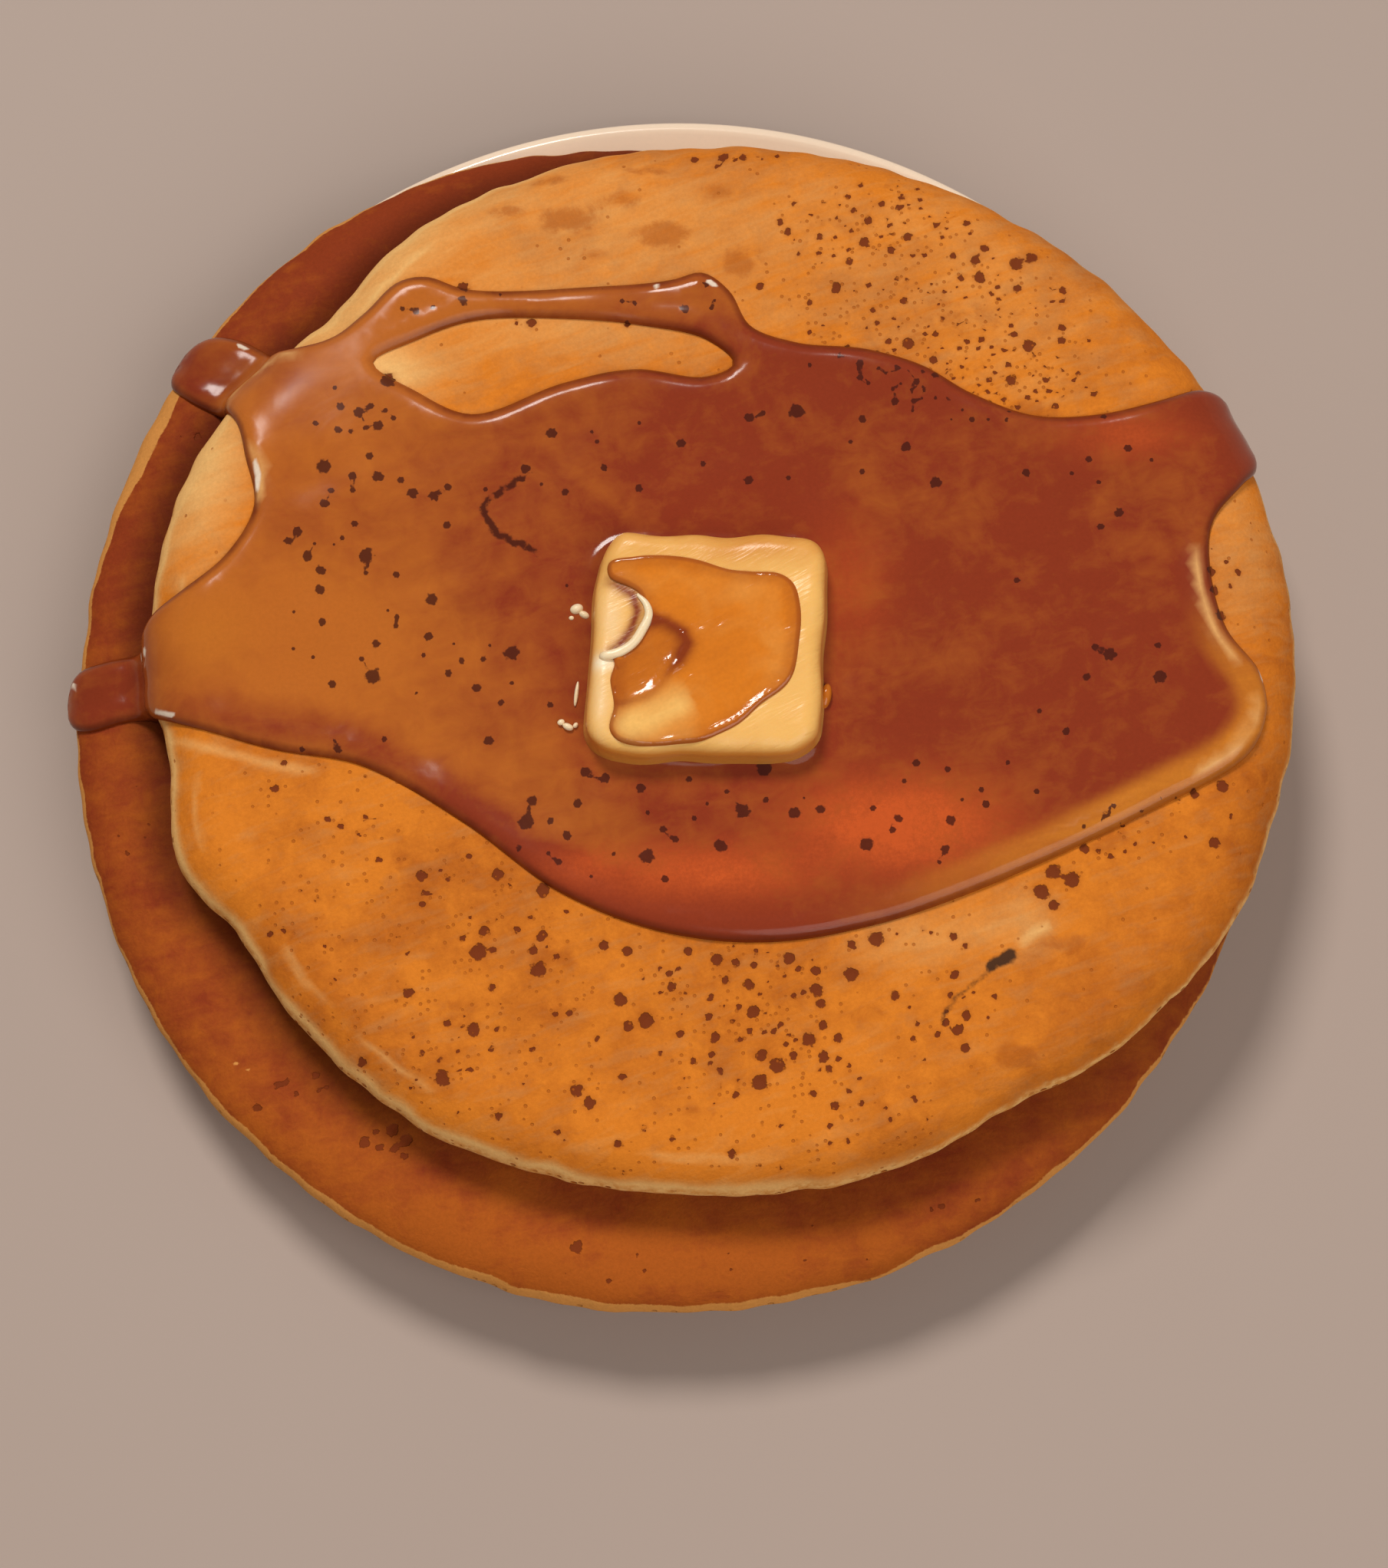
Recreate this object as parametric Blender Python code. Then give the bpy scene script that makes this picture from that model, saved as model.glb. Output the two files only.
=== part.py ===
"""Two pancakes with syrup and a pat of butter, on their small round plate.

Sizes are in millimetres with +Z up, and every mesh is scaled to metres as it is made.
The plate stands on z = 0 and the front of the stack faces -Y. Each surface is a height
over the plan (x, y), so that a piece and what lies on it share one function.
"""

import math

import bpy
import numpy as np
from mathutils import Vector
from mathutils.geometry import delaunay_2d_cdt

METRES_PER_MM = 0.001
GAP = 0.3

# Plate: a shallow coupe plate with a ring foot.
PLATE_CENTRE = (-1.0, 2.7)
PLATE_RADIUS = 79.6
PLATE_RIM_HEIGHT = 8.2
PLATE_RIM_ROUND = 1.2
PLATE_WELL_RADIUS = 54.0
PLATE_WELL_HEIGHT = 5.0
PLATE_THICKNESS = 2.8
FOOT_RADIUS = 47.0
FOOT_WIDTH = 4.0
PLATE_STEPS = 64

# Pancakes: half sizes along X and Y, and waves of the edge as angle, spread and height.
SHOULDER = 8.5
UNDER_ROUND = 5.0
BULGE = 0.42
LOWER_CENTRE = (-2.0, -3.1)
LOWER_HALF_SIZE = (79.5, 79.5)
LOWER_TOP_HEIGHT = 16.3
LOWER_WAVES = ((122, 24, 3.6), (151, 14, 1.1))
LOWER_SIDES = 64
UPPER_CENTRE = (5.0, 2.9)
UPPER_HALF_SIZE = (76.0, 71.4)
UPPER_THICKNESS = 11.3
UPPER_WAVES = (
    (139, 10, -3.0),
    (166, 8, 0.7),
    (190, 7, -1.2),
    (201, 6, 1.7),
    (211, 6, -1.2),
    (240, 14, 1.4),
    (302, 10, -2.1),
    (332, 8, 0.7),
)
UPPER_SIDES = 84
SWELL = 0.3
SWELL_LENGTH = 46.0
DROOP = 2.5
DROOP_START = 70.0
DROOP_END = 84.0
SHOULDER_STEPS = 5
UNDER_STEPS = 3
TOP_RING_SHARES = (0.86, 0.71, 0.56, 0.41, 0.26, 0.12)
BASE_RING_SHARES = (0.97, 0.8, 0.5, 0.2)

# Butter: a slightly leaning square pat, softened all round.
BUTTER_CORNERS = ((-13.2, -12.2), (17.2, -12.1), (18.4, 17.2), (-11.2, 17.2))
BUTTER_CORNER_RADIUS = 4.0
BUTTER_THICKNESS = 6.2
BUTTER_EDGE_ROUND = 2.2
BUTTER_EDGE_STEPS = 3
BUTTER_UNDER_ROUND = 0.9
BUTTER_SPREAD = 0.7
BUTTER_SWELL = 0.25
BUTTER_SWELL_LENGTH = 19.0
ARC_STEPS = 4
SIDE_STEPS = 4

# Syrup, in the flattened plan: distances from the upper pancake's centre run along the skin
# of the stack, over its edge and down. Three runs leave the pool: left, upper left and right.
SYRUP_THICKNESS = 1.3
SYRUP_EDGE_THICKNESS = 0.35
SYRUP_EDGE_WIDTH = 2.4
SYRUP_GAP = 0.4
SYRUP_OUTLINE = (
    (-66.5, 11.2), (-60.5, 16.0), (-57.0, 22.5), (-58.2, 29.0), (-60.0, 34.6),
    (-66.0, 39.4), (-73.0, 43.4), (-76.6, 47.4), (-75.2, 51.6), (-70.6, 53.4),
    (-65.5, 52.4), (-59.5, 49.0), (-53.5, 45.6), (-48.0, 45.6), (-43.0, 49.0),
    (-38.5, 53.3), (-34.5, 54.0), (-29.0, 52.2), (-15.0, 52.4), (-2.0, 53.6),
    (2.2, 54.6), (5.8, 52.0), (8.6, 47.2), (14.5, 44.9), (24.0, 43.9), (31.5, 41.6),
    (38.0, 37.8), (45.5, 35.0), (54.0, 35.0), (62.6, 37.0), (69.5, 40.0),
    (75.5, 41.0), (79.8, 37.6), (79.2, 31.0), (74.0, 26.0), (69.6, 20.5),
    (69.0, 14.5), (71.0, 6.0), (75.4, 0.0), (76.4, -5.5), (73.5, -11.2),
    (60.0, -19.0), (38.5, -28.9), (24.0, -33.9), (10.0, -36.1), (-3.5, -34.6),
    (-16.5, -29.4), (-29.0, -20.2), (-42.5, -12.6), (-54.0, -10.4), (-65.0, -7.2),
    (-72.5, -5.2), (-80.0, -4.6), (-86.2, -5.8), (-90.2, -4.2), (-91.2, -0.8),
    (-89.6, 2.9), (-85.0, 4.4), (-78.5, 5.6), (-72.0, 8.6),
)
BARE_PATCH = (
    (-41.5, 42.2), (-36.0, 45.2), (-28.0, 47.9), (-17.5, 48.2), (-6.0, 47.3), (2.5, 45.4),
    (6.3, 42.0), (2.5, 40.1), (-6.5, 41.2), (-16.0, 39.3), (-28.5, 35.0), (-36.0, 38.4),
)
OUTLINE_SPACING = 3.0
EDGE_RINGS = (0.7, 1.7)
FINE_SPACING = 2.9
COARSE_SPACING = 5.8
FINE_BAND = 9.0
RUN_FOOT = 4.0
HANGING_FOOT = 0.6
SKIN_DROP = 30.0
SKIN_ANGLES = 360
SKIN_STEP = 0.25
SKIN_LENGTH = 112.0
RAY_STEPS = 50
HALVINGS = 40
NORMAL_STEP = 0.8

# Melted film of butter and syrup on the pat.
FILM_OUTLINE = (
    (-9.6, 12.4), (-3.1, 13.9), (4.3, 12.9), (10.7, 12.3), (14.4, 9.2), (14.9, 3.0),
    (12.8, -2.6), (7.4, -7.2), (2.4, -9.6), (-8.6, -9.6), (-9.6, -4.5), (-8.2, 2.4),
    (-6.9, 7.2), (-9.0, 10.0),
)
FILM_THICKNESS = 0.5
FILM_EDGE_THICKNESS = 0.2
FILM_EDGE_WIDTH = 1.4
FILM_SPACING = 2.4

# Colour, roughness and metallic value of each piece.
LOOKS = {
    "plate": ((0.76, 0.53, 0.38, 1.0), 0.25, 0.0),
    "pancake_lower": ((0.29, 0.08, 0.03, 1.0), 0.55, 0.0),
    "pancake_upper": ((0.60, 0.22, 0.05, 1.0), 0.60, 0.0),
    "butter_pat": ((0.88, 0.50, 0.14, 1.0), 0.35, 0.0),
    "syrup": ((0.30, 0.07, 0.02, 1.0), 0.08, 0.0),
    "syrup_on_butter": ((0.68, 0.22, 0.03, 1.0), 0.10, 0.0),
}


def clear_scene():
    """Remove every object of the scene."""
    for existing in list(bpy.data.objects):
        bpy.data.objects.remove(existing)


def quarter_round(share):
    """Rise of a quarter circle, from 0 at its foot to 1 at share 1 and beyond."""
    inside = np.clip(share, 0.0, 1.0)
    return np.sqrt(1.0 - (1.0 - inside) ** 2)


def swell(x, y, length, phase):
    """A slow unevenness between -1 and 1, from two crossed waves."""
    turn = 2.0 * math.pi / length
    along = np.sin(turn * (x + 0.4 * y) + phase)
    across = np.sin(turn * (0.8 * y - 0.3 * x) + 2.0 * phase)
    return 0.5 * (along + across)


def plate_top(x, y):
    """Height of the plate's upper face: a flat well and a rim that curves up."""
    radius = np.hypot(x - PLATE_CENTRE[0], y - PLATE_CENTRE[1])
    rim_radius = PLATE_RADIUS - PLATE_RIM_ROUND
    share = np.clip((radius - PLATE_WELL_RADIUS) / (rim_radius - PLATE_WELL_RADIUS), 0.0, 1.0)
    return PLATE_WELL_HEIGHT + (PLATE_RIM_HEIGHT - PLATE_WELL_HEIGHT) * share ** 2


class Pancake:
    """A round cake between what it lies on and its own top, with a rounded, waved edge."""

    def __init__(self, centre, half_size, waves, base, top):
        self.centre = centre
        self.half_size = half_size
        self.waves = waves
        self.base = base
        self.top = top

    def edge_radius(self, angle):
        """Distance from the centre to the edge: an ellipse with bumps and dents."""
        half_x, half_y = self.half_size
        radius = half_x * half_y / np.hypot(half_y * np.cos(angle), half_x * np.sin(angle))
        for degrees, spread, height in self.waves:
            away = (angle - math.radians(degrees) + math.pi) % (2.0 * math.pi) - math.pi
            radius = radius + height * np.exp(-((away / math.radians(spread)) ** 2))
        return radius

    def inward(self, x, y):
        """Distance from the edge towards the centre."""
        across, along = x - self.centre[0], y - self.centre[1]
        return self.edge_radius(np.arctan2(along, across)) - np.hypot(across, along)

    def bulge(self, x, y):
        """Height at which the side is widest."""
        base = self.base(x, y)
        return base + BULGE * (self.top(x, y) - base)

    def skin(self, x, y):
        """Height of the upper face, rounded down to the bulge at the edge."""
        bulge = self.bulge(x, y)
        return bulge + (self.top(x, y) - bulge) * quarter_round(self.inward(x, y) / SHOULDER)

    def underside(self, x, y):
        """Height of the lower face, rounded up to the bulge at the edge."""
        bulge = self.bulge(x, y)
        return bulge - (bulge - self.base(x, y)) * quarter_round(self.inward(x, y) / UNDER_ROUND)

    def plan(self, angle, radius):
        """The x and y of a place given by its angle and radius about the centre."""
        return self.centre[0] + radius * np.cos(angle), self.centre[1] + radius * np.sin(angle)

    def ring(self, inward, share, sides, height):
        """Points at a distance from the edge, then drawn in to a share of their radius."""
        angle = np.arange(sides) * 2.0 * math.pi / sides
        x, y = self.plan(angle, (self.edge_radius(angle) - inward) * share)
        return np.stack([x, y, height(x, y)], axis=1)


def lower_base(x, y):
    """The lower pancake follows the plate, level beyond its rim."""
    return plate_top(x, y) + GAP


def lower_top(x, y):
    """Top of the lower pancake."""
    return LOWER_TOP_HEIGHT + SWELL * swell(x, y, SWELL_LENGTH, 0.6)


def upper_base(x, y):
    """The upper pancake lies on the lower one's highest places and droops past its edge."""
    reach = np.hypot(x - LOWER_CENTRE[0], y - LOWER_CENTRE[1])
    share = np.clip((reach - DROOP_START) / (DROOP_END - DROOP_START), 0.0, None)
    return LOWER_TOP_HEIGHT + SWELL + GAP - DROOP * share ** 2


def upper_top(x, y):
    """Top of the upper pancake."""
    return upper_base(x, y) + UPPER_THICKNESS + SWELL * swell(x, y, SWELL_LENGTH, 2.1)


LOWER = Pancake(LOWER_CENTRE, LOWER_HALF_SIZE, LOWER_WAVES, lower_base, lower_top)
UPPER = Pancake(UPPER_CENTRE, UPPER_HALF_SIZE, UPPER_WAVES, upper_base, upper_top)


def rounded_square(outward):
    """The butter's outline moved outward by some distance: four arcs and what joins them."""
    corners = np.array(BUTTER_CORNERS)
    after = np.roll(corners, -1, axis=0) - corners
    after /= np.linalg.norm(after, axis=1, keepdims=True)
    before = np.roll(after, 1, axis=0)
    points = []
    for corner, enter, leave in zip(corners, before, after):
        inner = leave - enter
        turn = math.atan2(enter[0] * leave[1] - enter[1] * leave[0], enter @ leave)
        reach = BUTTER_CORNER_RADIUS / math.cos(turn / 2.0)
        centre = corner + inner / np.linalg.norm(inner) * reach
        start = math.atan2(-enter[0], enter[1])
        for angle in start + turn * np.arange(ARC_STEPS + 1) / ARC_STEPS:
            direction = np.array([math.cos(angle), math.sin(angle)])
            points.append(centre + (BUTTER_CORNER_RADIUS + outward) * direction)
    return divide_sides(np.array(points))


def divide_sides(points):
    """Add points along the four straight sides, so that each has a few steps."""
    result = []
    lengths = np.linalg.norm(np.roll(points, -1, axis=0) - points, axis=1)
    for start, end, length in zip(points, np.roll(points, -1, axis=0), lengths):
        parts = SIDE_STEPS if length > 0.5 * lengths.max() else 1
        for part in range(parts):
            result.append(start + (end - start) * part / parts)
    return np.array(result)


def raised(plan, height, lift=0.0):
    """Points of the plan at the height that a function gives, and a lift."""
    return np.column_stack([plan, height(plan[:, 0], plan[:, 1]) + lift])


def butter_base(x, y):
    """The butter lies on the upper pancake."""
    return upper_top(x, y) + GAP


def butter_top(x, y):
    """Top of the butter, a little uneven where it has begun to melt."""
    middle = np.mean(BUTTER_CORNERS, axis=0)
    uneven = BUTTER_SWELL * swell(x, y, BUTTER_SWELL_LENGTH, 1.0)
    return float(butter_base(*middle)) + BUTTER_THICKNESS + uneven


def closed_from_rings(name, rings, first_pole, last_pole):
    """A closed mesh from rings of equal count, between a pole below and one above."""
    count = len(rings[0])
    points = np.vstack([*rings, [first_pole], [last_pole]])
    below, above = len(points) - 2, len(points) - 1
    here = np.arange(count)
    following = np.roll(here, -1)
    faces = []
    for level in range(len(rings) - 1):
        low, high = level * count, (level + 1) * count
        for a, b in zip(here, following):
            faces.append((low + a, low + b, high + b, high + a))
    last = (len(rings) - 1) * count
    for a, b in zip(here, following):
        faces.append((below, b, a))
        faces.append((above, last + a, last + b))
    return add_object(name, points, faces)


def add_object(name, points, faces):
    """One object from points in millimetres, with its own material."""
    mesh = bpy.data.meshes.new(name)
    places = (np.asarray(points) * METRES_PER_MM).tolist()
    mesh.from_pydata(places, [], [[int(corner) for corner in face] for face in faces])
    mesh.validate()
    mesh.shade_smooth()
    mesh.set_sharp_from_angle(angle=math.radians(50.0))
    piece = bpy.data.objects.new(name, mesh)
    bpy.context.scene.collection.objects.link(piece)
    mesh.materials.append(make_material(name))
    return piece


def make_material(name):
    """A Principled material from the table of looks."""
    colour, roughness, metallic = LOOKS[name]
    material = bpy.data.materials.new(name)
    material.use_nodes = True
    shader = material.node_tree.nodes["Principled BSDF"]
    shader.inputs["Base Color"].default_value = colour
    shader.inputs["Roughness"].default_value = roughness
    shader.inputs["Metallic"].default_value = metallic
    return material


def plate_profile():
    """Radius and height from the middle of the underside out to the rim and back in."""
    under_well = PLATE_WELL_HEIGHT - PLATE_THICKNESS
    foot_inner = FOOT_RADIUS - FOOT_WIDTH
    profile = [(foot_inner - 1.0, under_well), (foot_inner, 0.0), (FOOT_RADIUS, 0.0)]
    rim_radius = PLATE_RADIUS - PLATE_RIM_ROUND
    for radius in np.linspace(FOOT_RADIUS + 1.5, rim_radius - PLATE_RIM_ROUND, 4):
        top = float(plate_top(PLATE_CENTRE[0] + radius, PLATE_CENTRE[1]))
        profile.append((radius, top - PLATE_THICKNESS))
    profile.append((PLATE_RADIUS, PLATE_RIM_HEIGHT - PLATE_RIM_ROUND))
    for radius in np.linspace(rim_radius, PLATE_WELL_RADIUS, 5):
        profile.append((radius, float(plate_top(PLATE_CENTRE[0] + radius, PLATE_CENTRE[1]))))
    return profile


def make_plate():
    """The plate is turned about its own axis."""
    angle = np.arange(PLATE_STEPS) * 2.0 * math.pi / PLATE_STEPS
    rings = []
    for radius, height in plate_profile():
        x = PLATE_CENTRE[0] + radius * np.cos(angle)
        y = PLATE_CENTRE[1] + radius * np.sin(angle)
        rings.append(np.stack([x, y, np.full(PLATE_STEPS, height)], axis=1))
    below = (*PLATE_CENTRE, PLATE_WELL_HEIGHT - PLATE_THICKNESS)
    above = (*PLATE_CENTRE, PLATE_WELL_HEIGHT)
    return closed_from_rings("plate", rings, below, above)


def make_pancake(name, pancake, sides):
    """Rings from the middle of the underside, round the edge, to the middle of the top."""
    rings = []
    for share in reversed(BASE_RING_SHARES):
        rings.append(pancake.ring(UNDER_ROUND, share, sides, pancake.underside))
    for step in range(UNDER_STEPS, 0, -1):
        inward = UNDER_ROUND * (1.0 - math.cos(0.5 * math.pi * step / UNDER_STEPS))
        rings.append(pancake.ring(inward, 1.0, sides, pancake.underside))
    for step in range(SHOULDER_STEPS + 1):
        inward = SHOULDER * (1.0 - math.cos(0.5 * math.pi * step / SHOULDER_STEPS))
        rings.append(pancake.ring(inward, 1.0, sides, pancake.skin))
    for share in TOP_RING_SHARES:
        rings.append(pancake.ring(SHOULDER, share, sides, pancake.skin))
    x, y = np.array(pancake.centre)
    below = (x, y, float(pancake.underside(x, y)))
    above = (x, y, float(pancake.skin(x, y)))
    return closed_from_rings(name, rings, below, above)


def make_butter():
    """The pat: its foot follows the pancake, its edges are rounded and its top is uneven."""
    middle = np.mean(BUTTER_CORNERS, axis=0)
    rings = []
    base = rounded_square(BUTTER_SPREAD - BUTTER_UNDER_ROUND)
    for share in (0.5, 1.0):
        rings.append(raised(middle + (base - middle) * share, butter_base))
    rings.append(raised(rounded_square(BUTTER_SPREAD), butter_base, BUTTER_UNDER_ROUND))
    for step in range(BUTTER_EDGE_STEPS + 1):
        angle = 0.5 * math.pi * step / BUTTER_EDGE_STEPS
        top = rounded_square(-BUTTER_EDGE_ROUND * (1.0 - math.cos(angle)))
        rings.append(raised(top, butter_top, -BUTTER_EDGE_ROUND * (1.0 - math.sin(angle))))
    for share in (0.7, 0.4):
        rings.append(raised(middle + (top - middle) * share, butter_top))
    below = (*middle, float(butter_base(*middle)))
    above = (*middle, float(butter_top(*middle)))
    return closed_from_rings("butter_pat", rings, below, above)


class StackSkin:
    """The outer skin of the stack, unrolled along rays from the upper pancake's centre.

    A point of the flattened plan lies at an angle and a length about that centre, and the
    length is measured along the skin: over the top, round the shoulder, down the side,
    across what shows of the lower pancake and over its own edge.
    """

    def __init__(self):
        self.angles = np.linspace(-math.pi, math.pi, SKIN_ANGLES + 1)
        self.lengths = np.arange(0.0, SKIN_LENGTH, SKIN_STEP)
        self.radius = np.empty((len(self.angles), len(self.lengths)))
        self.height = np.empty_like(self.radius)
        for row, angle in enumerate(self.angles):
            radius, height = self.ray(angle)
            steps = np.hypot(np.diff(radius), np.diff(height))
            length = np.concatenate([[0.0], np.cumsum(steps)])
            self.radius[row] = np.interp(self.lengths, length, radius)
            self.height[row] = np.interp(self.lengths, length, height)

    def ray(self, angle):
        """Radius and height of the skin along one ray, densely: top, side, ledge and drop."""
        edge = float(UPPER.edge_radius(angle))
        turn = np.linspace(0.0, 0.5 * math.pi, RAY_STEPS)
        flat = np.linspace(0.0, edge - SHOULDER, 4 * RAY_STEPS, endpoint=False)
        over = np.concatenate([flat, edge - SHOULDER * (1.0 - np.sin(turn))])
        over_height = UPPER.skin(*UPPER.plan(angle, over))
        ledge_end = self.lower_edge(angle)
        foot = min(max(ledge_end - edge, HANGING_FOOT), RUN_FOOT)
        foot_height = float(LOWER.skin(*UPPER.plan(angle, edge + foot)))
        down = edge + foot * (1.0 - np.cos(turn[1:]))
        side_height = float(over_height[-1]) - foot_height
        down_height = foot_height + side_height * (1.0 - np.sin(turn[1:]))
        ledge = max(ledge_end - edge - foot, 0.1)
        out = edge + foot + ledge * np.sin(turn[1:])
        out_height = LOWER.skin(*UPPER.plan(angle, out))
        radius = np.concatenate([over, down, out, out[-1:]])
        height = np.concatenate([over_height, down_height, out_height, out_height[-1:] - SKIN_DROP])
        return radius, height

    def lower_edge(self, angle):
        """Length along a ray to the lower pancake's edge, by halving."""
        near, far = 0.5 * LOWER_HALF_SIZE[0], 1.5 * LOWER_HALF_SIZE[0]
        for _ in range(HALVINGS):
            middle = 0.5 * (near + far)
            if LOWER.inward(*UPPER.plan(angle, middle)) > 0.0:
                near = middle
            else:
                far = middle
        return near

    def points(self, plan):
        """Points of the skin under points of the flattened plan."""
        across, along = plan[:, 0] - UPPER.centre[0], plan[:, 1] - UPPER.centre[1]
        angle, length = np.arctan2(along, across), np.hypot(across, along)
        row = (angle + math.pi) / (2.0 * math.pi) * SKIN_ANGLES
        column = length / SKIN_STEP
        row_start = np.clip(row.astype(int), 0, SKIN_ANGLES - 1)
        column_start = np.clip(column.astype(int), 0, len(self.lengths) - 2)
        u, v = row - row_start, column - column_start
        radius, height = (
            (1 - u) * (1 - v) * table[row_start, column_start]
            + u * (1 - v) * table[row_start + 1, column_start]
            + (1 - u) * v * table[row_start, column_start + 1]
            + u * v * table[row_start + 1, column_start + 1]
            for table in (self.radius, self.height)
        )
        return np.stack([*UPPER.plan(angle, radius), height], axis=1)

    def normals(self, plan):
        """Directions out of the skin, from two short steps each way in the plan."""
        step_x, step_y = np.array([NORMAL_STEP, 0.0]), np.array([0.0, NORMAL_STEP])
        along_x = self.points(plan + step_x) - self.points(plan - step_x)
        along_y = self.points(plan + step_y) - self.points(plan - step_y)
        normal = np.cross(along_x, along_y)
        return normal / np.linalg.norm(normal, axis=1, keepdims=True)


def smooth_loop(corners, spacing):
    """A closed smooth curve through the corners, as evenly spaced points."""
    corners = np.array(corners, dtype=float)
    count = len(corners)
    dense = []
    for index in range(count):
        four = [corners[(index + shift) % count] for shift in (-1, 0, 1, 2)]
        dense.append(curve_piece(four, np.linspace(0.0, 1.0, 24, endpoint=False)))
    dense = np.vstack(dense)
    closed = np.vstack([dense, dense[:1]])
    length = np.concatenate([[0.0], np.cumsum(np.linalg.norm(np.diff(closed, axis=0), axis=1))])
    targets = np.linspace(0.0, length[-1], max(8, round(length[-1] / spacing)), endpoint=False)
    return np.stack([np.interp(targets, length, closed[:, axis]) for axis in (0, 1)], axis=1)


def curve_piece(four, share):
    """Catmull-Rom curve between the middle two of four points, knots by root distance."""
    knots = [0.0]
    for a, b in zip(four, four[1:]):
        knots.append(knots[-1] + math.dist(a, b) ** 0.5)
    t = (knots[1] + (knots[2] - knots[1]) * share)[:, None]

    def blend(low, high, k, m):
        return ((knots[m] - t) * low + (t - knots[k]) * high) / (knots[m] - knots[k])

    first, second, third = (blend(four[k], four[k + 1], k, k + 1) for k in range(3))
    return blend(blend(first, second, 0, 2), blend(second, third, 1, 3), 1, 2)


def distance_to_loops(points, loops):
    """Distance from each point to the nearest segment of the loops."""
    nearest = np.full(len(points), np.inf)
    for loop in loops:
        for start, end in zip(loop, np.roll(loop, -1, axis=0)):
            side = end - start
            share = np.clip((points - start) @ side / (side @ side), 0.0, 1.0)
            away = np.linalg.norm(points - start - share[:, None] * side, axis=1)
            nearest = np.minimum(nearest, away)
    return nearest


def inside(points, loop):
    """Whether each point is inside a loop, by counting crossings to its right."""
    result = np.zeros(len(points), dtype=bool)
    for start, end in zip(loop, np.roll(loop, -1, axis=0)):
        if start[1] == end[1]:
            continue
        between = (start[1] > points[:, 1]) != (end[1] > points[:, 1])
        crossing = start[0] + (points[:, 1] - start[1]) * (end[0] - start[0]) / (end[1] - start[1])
        result ^= between & (points[:, 0] < crossing)
    return result


def triangle_grid(loop, spacing):
    """Points of a triangle grid over a loop's box."""
    low, high = loop.min(axis=0), loop.max(axis=0)
    points = []
    for row, y in enumerate(np.arange(low[1], high[1], spacing * math.sqrt(0.75))):
        for x in np.arange(low[0] + 0.5 * spacing * (row % 2), high[0], spacing):
            points.append((x, y))
    return np.array(points)


def fill_region(outer, holes, rings, interior):
    """Triangles over a region with holes, from its loops, rings beside them and inner points."""
    loops = [outer, *holes]
    extra = [interior]
    for loop in loops:
        side = np.roll(loop, -1, axis=0) - np.roll(loop, 1, axis=0)
        sideways = np.stack([-side[:, 1], side[:, 0]], axis=1)
        sideways /= np.linalg.norm(sideways, axis=1, keepdims=True)
        for inset in rings:
            for direction in (-1.0, 1.0):
                candidate = loop + direction * inset * sideways
                clear = distance_to_loops(candidate, loops) > 0.8 * inset
                extra.append(candidate[clear])
    extra = np.vstack(extra)
    allowed = inside(extra, outer)
    for hole in holes:
        allowed &= ~inside(extra, hole)
    points = np.vstack([*loops, extra[allowed]])
    edges, start = [], 0
    for loop in loops:
        edges += [(start + k, start + (k + 1) % len(loop)) for k in range(len(loop))]
        start += len(loop)
    result = delaunay_2d_cdt([Vector(point) for point in points], edges, [], 0, 1e-6)
    points = np.array([tuple(point) for point in result[0]])
    triangles = np.array([tuple(face) for face in result[2]])
    centres = points[triangles].mean(axis=1)
    keep = inside(centres, outer)
    for hole in holes:
        keep &= ~inside(centres, hole)
    return points, triangles[keep]


def layer(name, triangles, bottom, top):
    """A closed body between two copies of one triangulated sheet."""
    count = len(bottom)
    used = set()
    for triangle in triangles:
        used.update((int(a), int(b)) for a, b in zip(triangle, np.roll(triangle, -1)))
    faces = [tuple(triangle + count) for triangle in triangles]
    faces += [tuple(triangle[::-1]) for triangle in triangles]
    for a, b in sorted(used):
        if (b, a) not in used:
            faces.append((a, b, b + count, a + count))
    return add_object(name, np.vstack([bottom, top]), faces)


def syrup_inner_points(outline, loops):
    """Inner points of the syrup: fine where the skin turns down, coarse on the flat top."""
    chosen = []
    for spacing, is_fine in ((FINE_SPACING, True), (COARSE_SPACING, False)):
        grid = triangle_grid(outline, spacing)
        across, along = grid[:, 0] - UPPER.centre[0], grid[:, 1] - UPPER.centre[1]
        inward = UPPER.edge_radius(np.arctan2(along, across)) - np.hypot(across, along)
        fine_place = inward < FINE_BAND
        clear = distance_to_loops(grid, loops) > EDGE_RINGS[-1] + 0.35 * spacing
        chosen.append(grid[(fine_place == is_fine) & clear])
    return np.vstack(chosen)


def make_syrup(skin):
    """The pool and its runs, with a bare patch and a place left open for the butter."""
    outline = smooth_loop(SYRUP_OUTLINE, OUTLINE_SPACING)
    patch = smooth_loop(BARE_PATCH, OUTLINE_SPACING)
    butter = rounded_square(BUTTER_SPREAD + GAP)
    inner = syrup_inner_points(outline, [outline, patch, butter])
    plan, triangles = fill_region(outline, [patch, butter], EDGE_RINGS, inner)
    from_edge = distance_to_loops(plan, [outline, patch])
    rise = quarter_round(from_edge / SYRUP_EDGE_WIDTH)
    thickness = SYRUP_EDGE_THICKNESS + (SYRUP_THICKNESS - SYRUP_EDGE_THICKNESS) * rise
    points, normals = skin.points(plan), skin.normals(plan)
    bottom = points + SYRUP_GAP * normals
    top = bottom + thickness[:, None] * normals
    return layer("syrup", triangles, bottom, top)


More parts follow.
